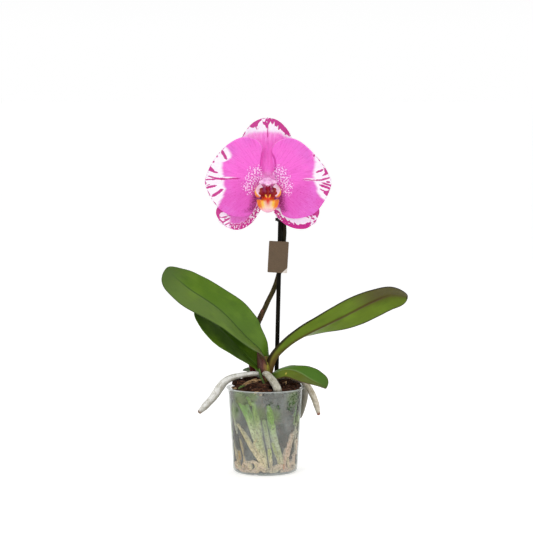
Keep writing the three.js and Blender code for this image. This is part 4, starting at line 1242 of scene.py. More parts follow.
def make_clips():
    skin = clip_material()
    stake = Route([STAKE["foot"], STAKE["head"]])
    bore = STAKE["radius"] + GAP

    x, y, z = stake.at_height(TAG_CLIP["middle"])
    pad = TAG_CLIP["pad"]
    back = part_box("tag")[1].y / MM + GAP
    band = ring_band(TAG_CLIP["radius"], bore, TAG_CLIP["height"], (x, y, z))
    plate = bevelled_box(pad, (x, back + pad[1] / 2, z))
    make("tag_clip_fine", joined([band, plate]), skin, ["tag_clip"], sharp=40)

    radius, height, tab = STEM_CLIP["radius"], STEM_CLIP["height"], STEM_CLIP["tab"]
    x, y, z = stake.at_height(STEM_CLIP["middle"])
    stem = Route(STEM_ROUTE).at_height(STEM_CLIP["middle"])
    bands = [ring_band(radius, bore, height, (x, y, z)), ring_band(radius, STEM_CLIP["bore"], height, stem)]
    grip = bevelled_box(tab, (x - radius - tab[0] / 2 + 2, y, z))
    make("stem_clip_fine", joined([*bands, grip]), skin, ["stem_clip"], sharp=40)


def tag_material():
    """Brown ribbed card, pale where its corner is folded over."""
    m = Shade("tag_card", Specular_IOR_Level=0.2)
    x, z, folded = m.attributes("tag_x", "tag_z", "folded")
    rib = m.math("SINE", m.times(z, 2 * math.pi / TAG["rib"]))
    fibre = m.noise(m.combine(m.times(x, 0.25), z), 0.5, 4, 0.7)
    m.colour = m.mix(m.step(rib, -0.9, 0.9), (84, 67, 50), (112, 94, 74))
    m.paint(m.step(fibre, 0.45, 0.75, 0, 0.5), (132, 114, 92))
    m.paint(m.step(m.noise(m.combine(x, z), 7, 3, 0.6), 0.4, 0.7, 0, 0.3), (84, 70, 56))
    m.paint(folded, (222, 214, 206))
    height = m.add(m.times(rib, 0.5), fibre, 0.6)
    return m.done(m.step(fibre, 0.3, 0.7, 0.45, 0.62), m.bump(height, 0.12))


def make_tag():
    """A plain ribbed card, with one pale folded corner and nothing written on it."""
    half_x, half_z = TAG["width"] / 2, TAG["height"] / 2
    corner, lean = TAG["corner"], math.radians(TAG["lean"])
    x, z = np.meshgrid(np.linspace(-half_x, half_x, 64), np.linspace(-half_z, half_z, 102))
    over = np.clip(np.abs(z) - (half_z - corner), 0, corner)
    limit = half_x - corner + np.sqrt(corner**2 - over**2)
    x = np.clip(x, -limit, limit)
    fold = np.clip((x - z) - (half_x + half_z - TAG["fold"]), 0, None)
    bow = -0.1 * (1 - (x / half_x) ** 2) - 0.16 * fold**1.3
    centre = np.mean(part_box("tag"), axis=0) / MM

    def face(side):
        across = x * math.cos(lean) + z * math.sin(lean)
        up = z * math.cos(lean) - x * math.sin(lean)
        return np.stack([across, bow + side * TAG["thickness"] * 0.375, up], -1) + centre

    values = {"tag_x": x, "tag_z": z, "folded": (smoothstep(fold, 0.0, 0.25), 0 * x)}
    make("tag_card_fine", shell(face(-1), face(1), values), tag_material(), ["tag"], sharp=45)


# ------------------------------------------------------------------ flower
# Flower points are [a, b, c]: a to the right, b up and c towards the viewer.
FLOWER_CENTRE = (3, -10, 338)
TEPALS = {
    "petal_left": dict(
        upper=[
            (-1, 2.5), (-6, 9), (-8, 17), (-7, 27), (-6, 37), (-13, 45.5),
            (-28, 48.5), (-43, 42), (-56, 30), (-66, 15), (-71.5, 1),
        ],
        lower=[
            (-1, -2.5), (-7, -9), (-11, -19), (-14.5, -31), (-20, -40), (-33, -42.5),
            (-45, -40), (-56, -33), (-64.5, -22), (-69.5, -12), (-71.7, -5),
        ],
    ),
    "petal_right": dict(
        upper=[
            (1, 2.5), (6, 8), (8.5, 15), (7.5, 24), (3.5, 33), (10, 43),
            (24, 47.5), (38, 42.5), (53, 29), (65, 14), (71.5, 1),
        ],
        lower=[
            (1, -2.5), (7, -9), (11, -19), (13.5, -31), (17, -40.5), (28, -44.5),
            (42, -43), (55, -37), (65, -24), (71, -11), (72.5, -5),
        ],
    ),
    "dorsal_sepal": dict(
        upper=[
            (-3, 1), (-8.5, 9), (-13, 20), (-23, 31), (-29.5, 40),
            (-30, 47), (-25, 56), (-17, 64.5), (-8, 69), (-2, 70),
        ],
        lower=[
            (3, 1), (9, 9), (13, 20), (22, 31), (27.5, 40), (27, 48), (22, 57), (15, 64.5), (8, 68.6),
            (2, 70),
        ],
    ),
    "lateral_sepal_left": dict(
        upper=[
            (-2.5, 0.5), (-12, -4), (-24, -9), (-38, -15), (-50, -22), (-57.5, -31), (-59.5, -39),
            (-56.5, -47),
        ],
        lower=[
            (-0.5, -2.5), (-3, -14), (-6, -28), (-10, -38), (-19, -50.5), (-31, -57.5), (-43, -57.2),
            (-52, -52),
        ],
    ),
    "lateral_sepal_right": dict(
        upper=[(2.5, 0.5), (12, -4), (24, -9), (38, -15), (50, -22), (57, -30), (59, -38), (56, -46.5)],
        lower=[(0.5, -2.5), (2.5, -14), (4, -28), (8, -40), (18, -50.5), (30, -56.2), (43, -56.8), (52, -52)],
    ),
}
TEPAL_THICKNESS = 1.1
TEPAL_GRID = {"petal": (156, 140), "sepal": (116, 120)}  # points across and along
FLOWER_REACH = 73  # from the flower's centre to a petal's tip
MIDRIB_TIPS = {
    "petal_left": (-71, -1), "petal_right": (72, -1), "dorsal_sepal": (0, 70),
    "lateral_sepal_left": (-50, -46), "lateral_sepal_right": (50, -46),
}


def in_flower(points):
    """From the flower's own axes to the shared frame."""
    x, y, z = FLOWER_CENTRE
    return np.stack([x + points[..., 0], y - points[..., 2], z + points[..., 1]], -1)


def line_distance(p, start, end):
    """Distance from points to a line, and how far along it the nearest place is."""
    start, end = np.array(start, float), np.array(end, float)
    d = end - start
    t = np.clip(((p - start) @ d) / (d @ d), 0, 1)
    return np.linalg.norm(p - start - t[..., None] * d, axis=-1), t


def path_distance(p, path):
    return np.min([line_distance(p, q, r)[0] for q, r in zip(path[:-1], path[1:])], axis=0)


def patch(p, outline):
    """1 inside an outline, 0 outside it, with a soft edge."""
    closed = np.array(list(outline) + [outline[0]], float)
    inside = np.zeros(p.shape[:-1], bool)
    for (x0, y0), (x1, y1) in zip(closed[:-1], closed[1:]):
        crosses = (y0 > p[..., 1]) != (y1 > p[..., 1])
        at = x0 + (p[..., 1] - y0) * (x1 - x0) / (y1 - y0 if y1 != y0 else 1e-9)
        inside ^= crosses & (p[..., 0] < at)
    gap = path_distance(p, closed)
    return smoothstep(np.where(inside, gap, -gap), -0.35, 0.35)


def streak(p, start, end, half, taper=(0.3, 0.3)):
    """1 on a painted stroke that is narrower at each end, 0 beside it."""
    gap, t = line_distance(p, start, end)
    width = 1.55 * half * np.minimum(1, np.minimum(taper[0] + t * 4, taper[1] + (1 - t) * 4))
    return smoothstep(width - gap, -0.35, 0.25)


# Where white starts on each tepal: the boundary's place at a run of heights, or of sideways places.
WHITE_FROM = {
    "petal_left": [
        (-40, -72), (-31, -59), (-25.6, -56.5), (-20, -53.5), (-14, -51), (-10, -50), (-6, -52), (0, -52.5),
        (6, -53), (13, -54), (19.9, -53), (22.2, -46.5), (26.7, -43.5), (31, -44), (34.7, -47), (37.5, -50),
        (39.5, -62), (44, -76),
    ],
    "petal_right": [
        (-34, 82), (-28, 72), (-23.9, 66.4), (-19.9, 62.4), (-14.2, 58.4), (-8.5, 57.3), (-2.8, 55),
        (6.3, 53.3), (13, 54.4), (19.9, 55.6), (26.7, 54.4), (31, 53), (34, 60), (38, 76),
    ],
    "dorsal_sepal": [
        (-30, 49), (-25, 52), (-21, 54.5), (-10, 56), (0, 56), (8, 56), (13, 55), (20, 50.6), (25, 48.5),
        (28, 46),
    ],
}
# Strokes of magenta: start, end, half the width, and how wide each end is beside the middle.
STREAKS = {
    "petal_left": [
        ((-52.1, 32), (-46.5, 22.5), 1.1, (0.8, 0.1)), ((-57.6, 26.6), (-57.9, 25.2), 0.6),
        ((-62.6, 21), (-61.6, 19.6), 0.8), ((-66.5, 11.6), (-61, 9.2), 0.8),
        ((-63, 9.2), (-57.4, 7.7), 0.55), ((-68.3, 3.9), (-58, 1.8), 0.5), ((-72, -0.6), (-58, 0.7), 0.5),
        ((-60, 1.1), (-47, 0.9), 0.75), ((-49, 0.9), (-30.8, 1.5), 0.45, (1, 0.05)),
        ((-71.8, -4), (-70.4, -4.8), 0.7), ((-70.8, -9.8), (-58.6, -6.5), 0.7, (0.6, 0.2)),
        ((-64.2, -19.6), (-51.1, -11), 0.95, (0.3, 0.3)), ((-68.8, -13.5), (-66.4, -18.8), 0.5),
        ((-62.4, -26), (-59.5, -28.6), 0.7), ((-71, 7.5), (-69.4, 4.8), 0.35),
        ((-70, -6.5), (-66.4, -5.8), 0.3),
    ],
    "petal_right": [
        ((52, 27.8), (53, 26.9), 0.8), ((58, 22.9), (58.9, 21.7), 0.75), ((62.8, 17), (63.6, 15.6), 0.5),
        ((54.9, 8.1), (63, 11.5), 0.55, (0.4, 0.6)), ((38.5, 0), (56, -0.6), 0.3, (0.05, 1)),
        ((54, -0.6), (63, -0.4), 0.5),
        ((61, -0.4), (70.6, 2), 0.6), ((66.5, -2.2), (71, -3.5), 0.55),
        ((61.5, -3.5), (72.5, -7.2), 0.65, (0.2, 0.8)),
        ((58.4, -6), (71.6, -10.6), 0.85, (0.2, 0.8)), ((59.5, -10.5), (64, -13), 0.4),
    ],
    "dorsal_sepal": [
        ((-23.9, 58.6), (-23.4, 57.6), 0.6), ((-0.3, 60), (-0.2, 47), 0.32, (1, 0.05)),
        ((-28.5, 49), (-25.5, 54), 0.25),
    ],
    "lateral_sepal_left": [
        ((-53, -44.2), (-46, -43), 0.5), ((-52, -49.7), (-43.6, -44.4), 0.55),
        ((-57, -44), (-51, -50.8), 0.5), ((-50.5, -45.8), (-47, -46.4), 0.4),
        ((-49, -52.5), (-44.5, -50), 0.4), ((-47.5, -41), (-42, -41.5), 0.3),
    ],
    "lateral_sepal_right": [
        ((49.5, -44), (53.5, -46), 0.5), ((47.5, -41.5), (51, -42.5), 0.5),
        ((44, -42.5), (47, -44.5), 0.35), ((55, -47), (52.5, -49.5), 0.5),
    ],
}
# Outlines of the larger magenta marks.
PATCHES = {
    "petal_left": [[(-67.8, 15), (-65.6, 16.2), (-62.6, 12.5), (-60.8, 10), (-64, 9.9), (-68, 9.8)]],
    "petal_right": [
        [(63.4, 14.6), (71, 7.2), (66, 5), (61.8, 4.2), (65, 8)],
        [(61.8, -12.2), (66, -13.4), (72.5, -11.8), (70.5, -17), (68.3, -20), (65.5, -16.5)],
    ],
    "dorsal_sepal": [
        [
            (-21.7, 61), (-18.2, 64.6), (-13.3, 68.6), (-9.3, 70.6), (-7.1, 69.2), (-8.3, 66.7),
            (-10.3, 64.2), (-11.8, 60.7), (-11.1, 56.7), (-13.3, 57.7), (-15.8, 60.2), (-18.7, 60.7),
        ],
        [
            (-5.5, 68.2), (-2.3, 67.2), (0.7, 68.7), (4.7, 69.7), (3.9, 67.2), (1.7, 64.2),
            (0.2, 59.2), (-1.1, 59.2), (-2.3, 63.2), (-4.3, 65.2),
        ],
        [
            (3.2, 69.7), (7.7, 71), (13, 68.8), (18.2, 64), (22.4, 58), (26.5, 50.2), (22.1, 50.4),
            (20.1, 54.2), (17.6, 55.2), (14.7, 55.7), (12.2, 57.7), (11.7, 61.2), (8.7, 61.7), (6.7, 64.7),
            (4.7, 66.2),
        ],
    ],
    "lateral_sepal_left": [
        [
            (-58.5, -33), (-54.1, -34.5), (-50.7, -37.3), (-54.1, -38.3), (-55.6, -40.5),
            (-54.6, -43), (-53.1, -44.5), (-57.2, -44.6), (-60, -40.5), (-60, -36.5),
        ]
    ],
    "lateral_sepal_right": [
        [(50, -38.8), (54.5, -35.5), (59.5, -33.5), (60, -40.5), (56.6, -46.5), (55, -41.5), (51.5, -42)]
    ],
}


def lateral_white(name, a, b, edge, fingers):
    """The white and the mottling of a lower sepal, which gather towards its tip and margin."""
    outward = -a if name.endswith("left") else a
    low, near_lip = smoothstep(-b, 20, 30), 1 - smoothstep(outward, 12, 26)
    if name.endswith("left"):
        outer = smoothstep(outward, 40, 48)
        margin = 1 - smoothstep(edge + 2.4 * fingers, 5.4, 9)
        white = np.maximum(outer * smoothstep(-b, 33, 38), (0.62 + 0.3 * near_lip) * margin * low)
        mottled = lerp(0.62, 0.5, near_lip) * margin * low * (1 - 0.85 * outer)
    else:
        outer = smoothstep(outward, 46, 52)
        margin = 1 - smoothstep(edge + 2.8 * fingers, 4.2, 6.4)
        white = np.maximum(smoothstep(-b, 30, 37) * (1 - 0.6 * outer), 0.8 * margin * low)
        mottled = lerp(0.95, 0.6, near_lip) * margin * low * (1 - 0.9 * outer)
    return np.clip(white + 0.15 * fingers * white, 0, 1), np.clip(mottled, 0, 1)


def tepal_marks(name, p, edge):
    """How white, how marked and how mottled each place on a tepal is."""
    a, b = p[..., 0], p[..., 1]
    angle, reach = np.arctan2(b, np.abs(a)), np.hypot(a, b)
    fingers = grain_at(angle * 26, reach / 9, 0, 1.0, 11)
    if name.startswith("lateral"):
        white, mottled = lateral_white(name, a, b, edge, fingers)
    else:
        starts = np.array(WHITE_FROM[name], float).T
        mottled = np.zeros_like(a)
    if name.startswith("petal"):
        sign, middle, start = (-1, 1.9, 30) if name == "petal_left" else (1, 0.2, 36)
        white = smoothstep(sign * (a - np.interp(b, *starts)) + 1.2 * fingers, -5.5, 2.2)
        white = np.maximum(white, 0.9 * bell(b, middle, 1.5) * smoothstep(sign * a, start, 47))
    elif name == "dorsal_sepal":
        white = smoothstep(b - np.interp(a, *starts) + 1.4 * fingers, -6, 2.5)

    ragged = [0.45 * grain_at(a, b, 9 * k, 1.7, 3) + 0.4 * grain_at(a, b, 9 * k, 5, 6) for k in range(2)]
    q = p + np.stack(ragged, -1)
    frayed = q + (3.6 if name == "dorsal_sepal" else 1) * fingers[..., None]
    marks = [streak(q, *stroke) for stroke in STREAKS[name]]
    marks += [patch(frayed, outline) for outline in PATCHES[name]]
    return white, np.max(marks, axis=0), mottled


def tepal_depth(name, a, b):
    """How far a tepal stands forward of the flower's middle plane, before it waves."""
    r = np.hypot(a, b)
    if name.startswith("petal"):
        return 2 + 4.5 * smoothstep(r, 3, 26) - 7 * (r / FLOWER_REACH) ** 3
    if name == "dorsal_sepal":
        raised = 2.6 * bell(b, 22, 14) * (1 - smoothstep(np.abs(a), 7, 12))
        return raised - 1.5 - 1.5 * smoothstep(r, 3, 20) - 5 * (r / FLOWER_REACH) ** 2 - 0.006 * a * a
    return -1.5 - 2.5 * smoothstep(r, 3, 20) - 4 * (r / FLOWER_REACH) ** 2


# Where petals sparkle: places to the side and up, and how far the sparkle reaches each way.
SPECK_ZONES = ((13, 8.5, 8.5, 7), (20.5, -7, 7.5, 9.5), (11, 1, 5, 7), (17, 1, 8, 6))


def tepal_specks(name, a, b):
    """How much each place on a tepal sparkles with pale specks."""
    r = np.hypot(a, b)
    if name.startswith("petal"):
        near = [np.hypot((np.abs(a) - x) / w, (b - y) / h) for x, y, w, h in SPECK_ZONES]
        return 1 - smoothstep(np.min(near, axis=0), 0.3, 1.6)
    if name == "dorsal_sepal":
        return 0.3 * (1 - smoothstep(r, 4, 10))
    return 0.2 * (1 - smoothstep(r, 8, 20))


def make_tepal(name, skin, seed):
    petal = name.startswith("petal")
    upper, lower = (Route([(a, b, 0) for a, b in TEPALS[name][k]]) for k in ("upper", "lower"))
    cols, rows = TEPAL_GRID["petal" if petal else "sepal"]
    v, u = np.linspace(0, 1, rows), np.linspace(-1, 1, cols)
    top, foot = upper.even(v)[:, None, :2], lower.even(v)[:, None, :2]
    p = foot + (top - foot) * ((1 + u) / 2)[None, :, None]
    bulge = {"p": 0.5, "d": 0.3, "l": 1.3}[name[0]]
    p = p + unit(p) * (bulge * (1 - u[None] ** 2) * smoothstep(v, 0.88, 1)[:, None])[..., None]
    outline = np.concatenate([upper.even(np.linspace(0.06, 1, 90)), lower.even(np.linspace(1, 0.06, 90))])
    edge = path_distance(p, outline[:, :2])
    a, b = p[..., 0], p[..., 1]
    r, angle = np.hypot(a, b), np.arctan2(b, np.abs(a))

    far = smoothstep(r, 12, 34)
    wave = 0.9 * grain_at(a, b, 0, 26, seed) + 0.35 * grain_at(a, b, 0, 10, seed + 1)
    ripple = np.sin(angle * 11 + seed * 1.7 + 1.5 * grain_at(a, b, 0, 20, seed + 2))
    veins = grain_at(angle * 60, r / 16, 0, 1.0, seed + 4)
    waves = wave + 0.7 * ripple * (1 - smoothstep(edge, 0, 9)) + 0.11 * veins
    c = tepal_depth(name, a, b) + far * waves
    gap, t = line_distance(p, (0, 0), MIDRIB_TIPS[name])
    c = c - 0.55 * bell(gap, 0, 1.5) * smoothstep(t, 0.06, 0.2) * (1 - smoothstep(t, 0.85, 1))
    none = fold = np.zeros_like(a)
    if petal:
        inner = path_distance(p, lower.even(np.linspace(0.1, 0.42, 40))[:, :2])
        # fold: where the lower inner part turns back; the material paints shade there
        fold = (1 - smoothstep(inner, 2.5, 11)) * smoothstep(-b, 8, 17) * smoothstep(b, -40, -34)
        c = c - 3.2 * np.clip(1 - inner / 10, 0, 1) ** 2
        c = c + 0.5 * (1 - smoothstep(edge, 0, 2.4)) * smoothstep(b, -5, 10)

    thick = (TEPAL_THICKNESS / 2) * lerp(1, 0.45, smoothstep(np.abs(u), 0.7, 1))[None]
    thick = np.minimum(thick, 0.22 + 0.2 * edge)
    front, back = (in_flower(np.stack([a, b, c + side * thick], -1)) for side in (1, -1))
    white, mark, mottled = tepal_marks(name, p, edge)
    values = {
        "petal_a": a, "petal_b": b, "angle": angle, "reach": r, "edge": edge,
        "white": (white, white * 0.8), "mark": (mark, mark * 0.5), "mottled": (mottled, mottled * 0.6),
        "speck": (tepal_specks(name, a, b), none), "fold": (fold, none), "behind": (none, none + 1),
    }
    make(name + "_fine", shell(front, back, values), skin, [name])


def tepal_material(name, bright, deep, lilac):
    """Petal tissue: radiating veins, a sparkle of tiny cells, white margins and magenta marks."""
    m = Shade(name, Specular_IOR_Level=0.25, Sheen_Weight=0.08, Sheen_Roughness=0.45)
    m.set(Subsurface_Weight=0.1, Subsurface_Radius=(1.0, 0.35, 0.7), Subsurface_Scale=0.001)
    a, b, angle, reach, edge = m.attributes("petal_a", "petal_b", "angle", "reach", "edge")
    white, mark, mottled = m.attributes("white", "mark", "mottled")
    speck, fold, behind = m.attributes("speck", "fold", "behind")
    flat = m.combine(a, b, behind)
    veins = m.noise(m.combine(m.times(angle, 34), m.times(reach, 0.05)), 1.0, 4, 0.6, 0.4)
    thin = m.noise(m.combine(m.times(angle, 90), m.times(reach, 0.10), 3.0), 1.0, 3, 0.6)
    cloud, cell = m.noise(flat, 19, 3, 0.5), m.cells(flat, 0.55)
    dot, grit, blot = m.noise(flat, 1.7, 2, 0.5), m.noise(flat, 0.8, 3, 0.7), m.noise(flat, 2.6, 3, 0.6)

    tone = m.stir(m.step(b, -34, 24), cloud, 1.1)
    m.colour = m.mix(m.step(tone, 0.1, 0.9), deep, bright)
    m.paint(m.times(m.step(reach, 34, 56), m.step(cloud, 0.35, 0.7, 0.15, 0.75)), lilac)
    m.paint(m.step(veins, 0.45, 0.7, 0, 0.45), (216, 62, 172))
    m.paint(m.step(thin, 0.52, 0.72, 0, 0.3), (255, 168, 238))
    m.paint(m.step(blot, 0.55, 0.7, 0, 0.3), (222, 76, 182))
    m.paint(m.times(m.step(edge, 0.3, 1.5, 0.4, 0), m.step(b, 24, 34)), (255, 168, 234))
    # painted shadow: a dark line along the inner edges near the flower's middle, where the tepals overlap
    beside = m.step(m.math("ABSOLUTE", a), 16, 10)
    edge_shadow = m.times(m.times(m.step(edge, 0.5, 1.7, 0.8, 0), beside), m.step(b, 2, 6))
    m.paint(m.times(edge_shadow, m.step(b, 44, 30)), (198, 36, 150))
    freckle = m.add(m.noise(flat, 1.9, 2), m.step(b, 4, -14, 0, 0.05))
    m.paint(m.step(freckle, 0.66, 0.7, 0, 0.5), (206, 46, 150))
    m.paint(m.step(reach, 13, 6, 0, 0.5), (255, 190, 238))

    m.paint(m.times(speck, m.step(grit, 0.44, 0.54, 0, 0.8)), (212, 52, 176))
    sparkle = m.add(m.noise(flat, 1.75, 2, 0.55), speck, 0.11)
    m.paint(m.times(m.step(sparkle, 0.605, 0.645), m.step(speck, 0.02, 0.25, 0, 0.95)), (255, 214, 248))

    white = m.step(m.stir(white, veins, 0.5), 0.04, 0.92)
    paper = m.mix(m.step(thin, 0.45, 0.75, 0, 0.5), (250, 243, 253), (240, 214, 238))
    m.paint(white, m.mix(m.step(blot, 0.5, 0.7, 0, 0.35), paper, (240, 204, 234)))

    stain = m.mix(m.step(grit, 0.35, 0.65), (182, 16, 118), (212, 48, 154))
    m.paint(m.times(m.step(m.stir(mark, grit, 0.7), 0.22, 0.55), 0.97), stain)
    mottle = m.add(m.times(mottled, 0.3), m.add(m.times(dot, 0.5), blot, 0.5))
    m.paint(m.times(m.step(mottle, 0.62, 0.66), m.step(mottled, 0.08, 0.3)), stain)
    near_rim = m.step(m.add(edge, veins, 1.6), 1.1, 2.0, 0.9, 0)
    m.paint(m.times(m.times(near_rim, white), m.step(blot, 0.46, 0.56)), (196, 52, 150))

    # painted shade where the petal turns back, with dark speckles laid over it
    m.paint(m.times(fold, 0.6), (182, 54, 146))
    pepper = m.step(m.add(m.noise(flat, 1.5, 2, 0.6), fold, 0.12), 0.56, 0.62)
    m.paint(m.times(pepper, m.times(fold, 0.85)), (132, 26, 88))
    m.paint(m.times(behind, 0.4), (236, 178, 224))

    height = m.add(m.times(veins, 0.8), m.add(m.times(thin, 0.35), cell, 0.28))
    return m.done(m.step(cloud, 0.3, 0.7, 0.45, 0.6), m.bump(height, 0.22))


# The lip in the flower's axes: a cup of two side lobes, a middle lobe, a callus and a claw. Its
# opening and rims are in degrees.
LIP = dict(
    centre=(0, -13.5, 14.5), half=(15, 11.5, 9), wall=1.3, open=34, rim=140, foot_rim=100,
    mid_top=-19.5, mid_tip=-36.2, mid_half=13,
)
LIP_LUMPS = {
    "callus": ((4, 4, 4), (0, -20, 13)),
    "claw": ((3.2, 5, 5.5), (0, -8.6, 4.5)),
    "keel": ((1.1, 4.6, 2.2), (0, -14.5, 14.2)),
    "throat": ((5.5, 5, 1.5), (0, -13, 6.6)),
    "horn_left": ((1.6, 1.9, 2.2), (-2.1, -17.8, 16.2)),
    "horn_right": ((1.6, 1.9, 2.2), (2.1, -17.8, 16.2)),
}
LIP_SKIN = dict(voxel=0.36, soften=4)


def side_lobe(mirror):
    """One half of the cup, which curls in at its rim."""
    v, u = np.meshgrid(np.linspace(0, 1, 60), np.linspace(-1, 1, 90), indexing="ij")
    turn = np.radians(lerp(90 - LIP["open"], -94, (u + 1) / 2))
    low = smoothstep(-np.sin(turn), 0.5, 1)
    opening = np.radians(lerp(12, lerp(LIP["rim"], LIP["foot_rim"], low) + 3 * np.sin(turn * 9), v))
    flare = np.sin(opening) * (1 + 0.10 * smoothstep(v, 0.8, 1) * (1 - low))
    outward = np.stack([np.cos(turn) * flare, np.sin(turn) * flare, -np.cos(opening)], -1)
    wall = (LIP["wall"] * lerp(1, 0.5, smoothstep(v, 0.6, 1)))[..., None]

    def face(side):
        half = np.array(LIP["half"]) - LIP["wall"] / 2 + side * wall / 2
        return (np.array(LIP["centre"]) + outward * half) * [mirror, 1, 1]

    return shell(face(1), face(-1))


def egg(half, centre, shape=None, rows=28, cols=40):
    """A rounded lump; shape(direction) gives a factor on its size."""
    t = np.linspace(0.02, math.pi - 0.02, rows)[:, None]
    around = np.linspace(0, 2 * math.pi, cols, endpoint=False)
    d = np.stack(np.broadcast_arrays(np.sin(t) * np.cos(around), np.cos(t), np.sin(t) * np.sin(around)), -1)
    factor = shape(d)[..., None] if shape else 1
    return closed_rings(np.array(centre) + d * factor * np.array(half))


def mid_half_width(down):
    """Half the width of the middle lobe, from 0 at its top to 1 at its tip."""
    return LIP["mid_half"] * np.sqrt(np.maximum(1 - 0.9 * np.clip(down, 0, 1) ** 2.4, 0.1))


def mid_lobe():
    v, u = np.meshgrid(np.linspace(0, 1, 60), np.linspace(-1, 1, 61), indexing="ij")
    half = mid_half_width(v) * (1 - 0.12 * bell(v, 0, 0.12))
    depth = LIP["centre"][2] - 1 + 5 * np.sin(1.9 * v) - 3.5 * u * u
    depth = depth + 0.8 * bell(u, 0, 0.1) * (1 - smoothstep(v, 0.3, 0.9)) + 0.5 * np.sin(v * 12) * u**4
    top = lerp(LIP["mid_top"], LIP["mid_tip"] - 0.6 * (1 - u * u), v)
    wall = LIP["wall"] / 2 * np.sqrt(1 - 0.8 * np.abs(u) ** 6)
    return shell(*(np.stack([u * half, top, depth + side * wall], -1) for side in (1, -1)))


def layered(colour, coats):
    """A colour with others laid over it, each with its share at every place."""
    made = linear(colour)
    for other, share in coats:
        other = other if isinstance(other, np.ndarray) else linear(other)
        made = made + (other - made) * share[..., None]
    return made


def lip_colours(p):
    """Red, green and blue at each place on the lip: maroon hollows, orange cheeks, a pale rim and a
    cream middle lobe with a red centre line."""
    a, b, c = p.T
    side = np.abs(a)
    d = (p - LIP["centre"]) / LIP["half"]
    size = np.linalg.norm(d, axis=-1)
    down, back = -d[:, 1] / np.maximum(size, 1e-6), -d[:, 2] / np.maximum(size, 1e-6)
    opening = np.degrees(np.arccos(np.clip(back, -1, 1)))
    to_rim = lerp(LIP["rim"], LIP["foot_rim"], smoothstep(down, 0.5, 1)) - opening
    inner = 1 - smoothstep(size, 0.93, 0.99)
    curl = opening - 96 - 30 * smoothstep(-b, 9, 19)

    hollow = layered((196, 22, 84), [
        ((120, 6, 40), bell(side, 6, 2.4) * bell(b, -6.5, 3.6)),
        ((208, 110, 190), bell(side, 4, 1.3) * bell(b, -11, 3) * 0.7),
        ((222, 96, 44), bell(side, 8.4, 1) * smoothstep(-b, 7, 10) * 0.8),
        ((206, 14, 34), smoothstep(-b, 14, 16.5)),
        # painted highlight: a small pale spot inside the right half of the cup
        ((255, 214, 190), bell(np.hypot(a - 5, (b + 12.6) * 0.8), 0, 0.8) * 0.9),
    ])
    down = (LIP["mid_top"] - b) / (LIP["mid_top"] - LIP["mid_tip"])
    share = side / mid_half_width(down)
    cheek = smoothstep(share, 0.5, 0.72) * (1 - smoothstep(down, 0.62, 0.92))
    lobe = layered((253, 216, 196), [
        ((246, 186, 206), smoothstep(down, 0.6, 0.95)),
        ((255, 204, 62), bell(share, 0.52, 0.2) * (1 - smoothstep(down, 0.5, 0.85))),
        ((240, 124, 20), np.maximum(cheek, 1 - smoothstep(down, 0.14, 0.36))),
        ((226, 78, 16), (1 - smoothstep(down, 0.06, 0.26)) * smoothstep(share, 0.9, 0.4)),
        ((222, 30, 16), bell(share, 0, 0.2) * (1 - smoothstep(down, 0.25, 0.75))),
        ((216, 150, 190), smoothstep(down, 0.93, 1.0) * 0.7),
    ])
    strokes = np.abs(side - lerp(3.1, 1.5, smoothstep(-b, 16, 19.6)))
    ridge = layered((222, 84, 24), [
        ((150, 4, 16), np.maximum(bell(a, 0, 1.1), bell(b, -9.5, 2.6))),
        ((255, 214, 70), bell(strokes, 0, 0.6) * smoothstep(-b, 15.2, 16.6)),
    ])
    on_ridge = 1 - smoothstep(np.hypot(a / 4.4, (b + 15) / 5.6), 0.75, 1.05)
    return layered((244, 136, 26), [
        ((255, 200, 50), bell(b, -12.5, 3.5) * 0.8),
        ((216, 78, 16), smoothstep(-b, 16.5, 20)),
        ((240, 200, 222), np.maximum(smoothstep(curl, 0, 14), smoothstep(b, -10, -6))),
        ((222, 120, 156), bell(curl, 34, 8) * smoothstep(-b, 8, 12) * 0.5),
        (hollow, inner * smoothstep(to_rim, 3, 9)),
        ((236, 62, 26), inner * smoothstep(-b, 18, 19.6)),
        (lobe, smoothstep(-b, 20.2, 21.2)),
        # painted shade: dark purple where the side lobes meet the middle lobe
        ((120, 50, 130), smoothstep(side, 6.5, 8) * bell(b, -20.9, 1.3) * 0.95),
        (ridge, on_ridge * smoothstep(c, 8.5, 11)),
    ])


def remeshed(solid, voxel, soften):
    """One skin over overlapping closed lumps."""
    piece = new_object("raw", new_mesh("raw", solid))
    remesh = piece.modifiers.new("skin", "REMESH")
    remesh.mode, remesh.voxel_size = "VOXEL", voxel * MM
    smooth = piece.modifiers.new("soften", "SMOOTH")
    smooth.factor, smooth.iterations = 0.5, soften
    apply_modifiers(piece)
    points = read_points(piece)
    groups = {}
    for f in piece.data.polygons:
        groups.setdefault(len(f.vertices), []).append(tuple(f.vertices))
    bpy.data.objects.remove(piece)
    return Solid(points, list(groups.values())).outward()


def lip_material():
    """The mesh's own colours, with red grain and pale lanes over them."""
    m = Shade("lip_skin", Specular_IOR_Level=0.25, Coat_Weight=0.05, Coat_Roughness=0.25)
    m.set(Subsurface_Weight=0.1, Subsurface_Radius=(1.0, 0.5, 0.4), Subsurface_Scale=0.001)
    a, b, c = m.attributes("lip_a", "lip_b", "lip_c")
    place = m.combine(a, b, c)
    fine, cloud = m.noise(place, 0.7, 4, 0.7), m.noise(place, 3, 3, 0.6)
    lanes = m.noise(m.combine(a, m.times(b, 0.15)), 0.8, 4, 0.65)
    m.colour = m.tint()
    m.paint(m.step(fine, 0.52, 0.68, 0, 0.4), m.mix(0.75, m.colour, (160, 16, 34)))
    m.paint(m.step(lanes, 0.5, 0.72, 0, 0.35), m.mix(0.5, m.colour, (255, 236, 200)))
    m.paint(m.step(cloud, 0.5, 0.8, 0, 0.15), (130, 12, 40))
    return m.done(m.step(cloud, 0.3, 0.7, 0.3, 0.45), m.bump(m.add(fine, lanes, 0.6), 0.25))


